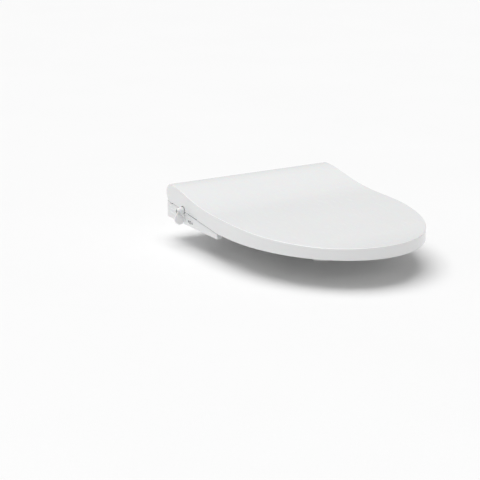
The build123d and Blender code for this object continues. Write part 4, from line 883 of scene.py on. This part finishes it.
def anchors(work):
    apart = 2 * pi / ANCHOR_SLITS

    def slit(angle, radius, height):
        across = abs((angle + apart / 2) % apart - apart / 2) * radius
        if radius > BOLT_R * 1.4 and height < SLIT_TALL and across < SLIT_HALF:
            return radius - SLIT_DEEP
        return radius

    for foot, r, tall in uprights("expansion_anchors"):
        wall = [(BOLT_R, 0), (r - 0.0022, 0), (r - 0.0012, 0.0014)]
        for rib in range(ANCHOR_RIBS):
            up = FIRST_RIB + rib * RIB_PITCH
            wall += [
                (r - RIB_DEEP, up), (r - 0.0001, up + 0.0012), (r, up + 0.0018),
                (r - 0.0001, up + 0.0024), (r - RIB_DEEP, up + 0.0030),
            ]
        wall += [(r - 0.0006, tall - 0.0048), (r, tall - 0.0036), (r, tall), (BOLT_R, tall)]
        turned(work, wall, foot, sides=ANCHOR_SIDES, shape=slit)


new_piece(
    "ribbed_anchors", anchors, "deck_bracket", ["expansion_anchors"], rubber_black
)

# ---------------------------------------------------------------------------- release button
# A finger cap on the user's left, moulded in one with the hook that holds the unit
# on the plate. Pressing it frees the unit, which then slides forward for cleaning.
CAP_ROUNDING = 0.0003

softened(
    "release_cap", "release_button", "release_latch", satin_white, CAP_ROUNDING
)

# ---------------------------------------------------------------------------- floor and light
# A plain pale sheet lies under everything, at the foot of the anchors. One broad soft
# light overhead and a weaker one from the lever's side fill a white room.
FLOOR_HALF = 14.0
FLOOR_GAP = 0.0005  # under the lowest point of the part
ROOM_STRENGTH = 0.34

floor_white, floor_shader, ink = material("floor_pale", Specular_IOR_Level=0.2)
paper = ink.cloud(3.0, 4.0)
tooth = ink.cloud(600.0, 3.0)
paint(
    floor_shader,
    Base_Color=paper.between(grey(0.895), grey(0.915)),
    Roughness=0.75 + tooth * 0.1,
    Normal=ink.node("Bump", None, {"Height": tooth, "Distance": 0.0002}),
)
floor_mesh = bpy.data.meshes.new("floor")
floor_mesh.from_pydata(
    [
        (-FLOOR_HALF, -FLOOR_HALF, 0), (FLOOR_HALF, -FLOOR_HALF, 0),
        (FLOOR_HALF, FLOOR_HALF, 0), (-FLOOR_HALF, FLOOR_HALF, 0),
    ],
    [],
    [(0, 1, 2, 3)],
)
floor_mesh.materials.append(floor_white)
floor = new_object("floor", floor_mesh)
floor.location = (0, 0, cad_low.z - FLOOR_GAP)

room = bpy.data.worlds.new("white_room")
room.use_nodes = True
backdrop = room.node_tree.nodes["Background"]
backdrop.inputs["Color"].default_value = grey(1.0)
backdrop.inputs["Strength"].default_value = ROOM_STRENGTH
bpy.context.scene.world = room
bpy.context.scene.view_settings.view_transform = "Standard"


def soft_sun(name, comes_from, strength, spread):
    """A broad parallel light, even over the whole floor; spread is its width in degrees."""
    lamp = bpy.data.lights.new(name, "SUN")
    lamp.energy = strength
    lamp.angle = radians(spread)
    aim = (-Vector(comes_from)).to_track_quat("-Z", "Y")
    new_object(name, lamp).rotation_euler = aim.to_euler()


soft_sun("light_overhead", (-0.10, 0.15, 1.0), 2.34, 60.0)
soft_sun("light_left", (-1.0, 0.15, 0.45), 0.10, 60.0)

# ---------------------------------------------------------------------------- camera
# A long lens stands off in front, on the lever's side, a little above the seat, as a
# catalogue picture of the whole fitting is taken.
CAMERA_AT = (-1.6486, -2.6399, 0.8190)
CAMERA_DOWN, CAMERA_TURN = 15.817, -31.228  # degrees below level, and round from facing +Y
FOCAL_LENGTH, SENSOR_WIDE = 120.0, 36.0  # millimetres

lens = bpy.data.cameras.new("camera")
lens.lens = FOCAL_LENGTH
lens.sensor_width = SENSOR_WIDE
camera = new_object("camera", lens)
camera.location = CAMERA_AT
camera.rotation_euler = (radians(90 - CAMERA_DOWN), 0.0, radians(CAMERA_TURN))
bpy.context.scene.camera = camera
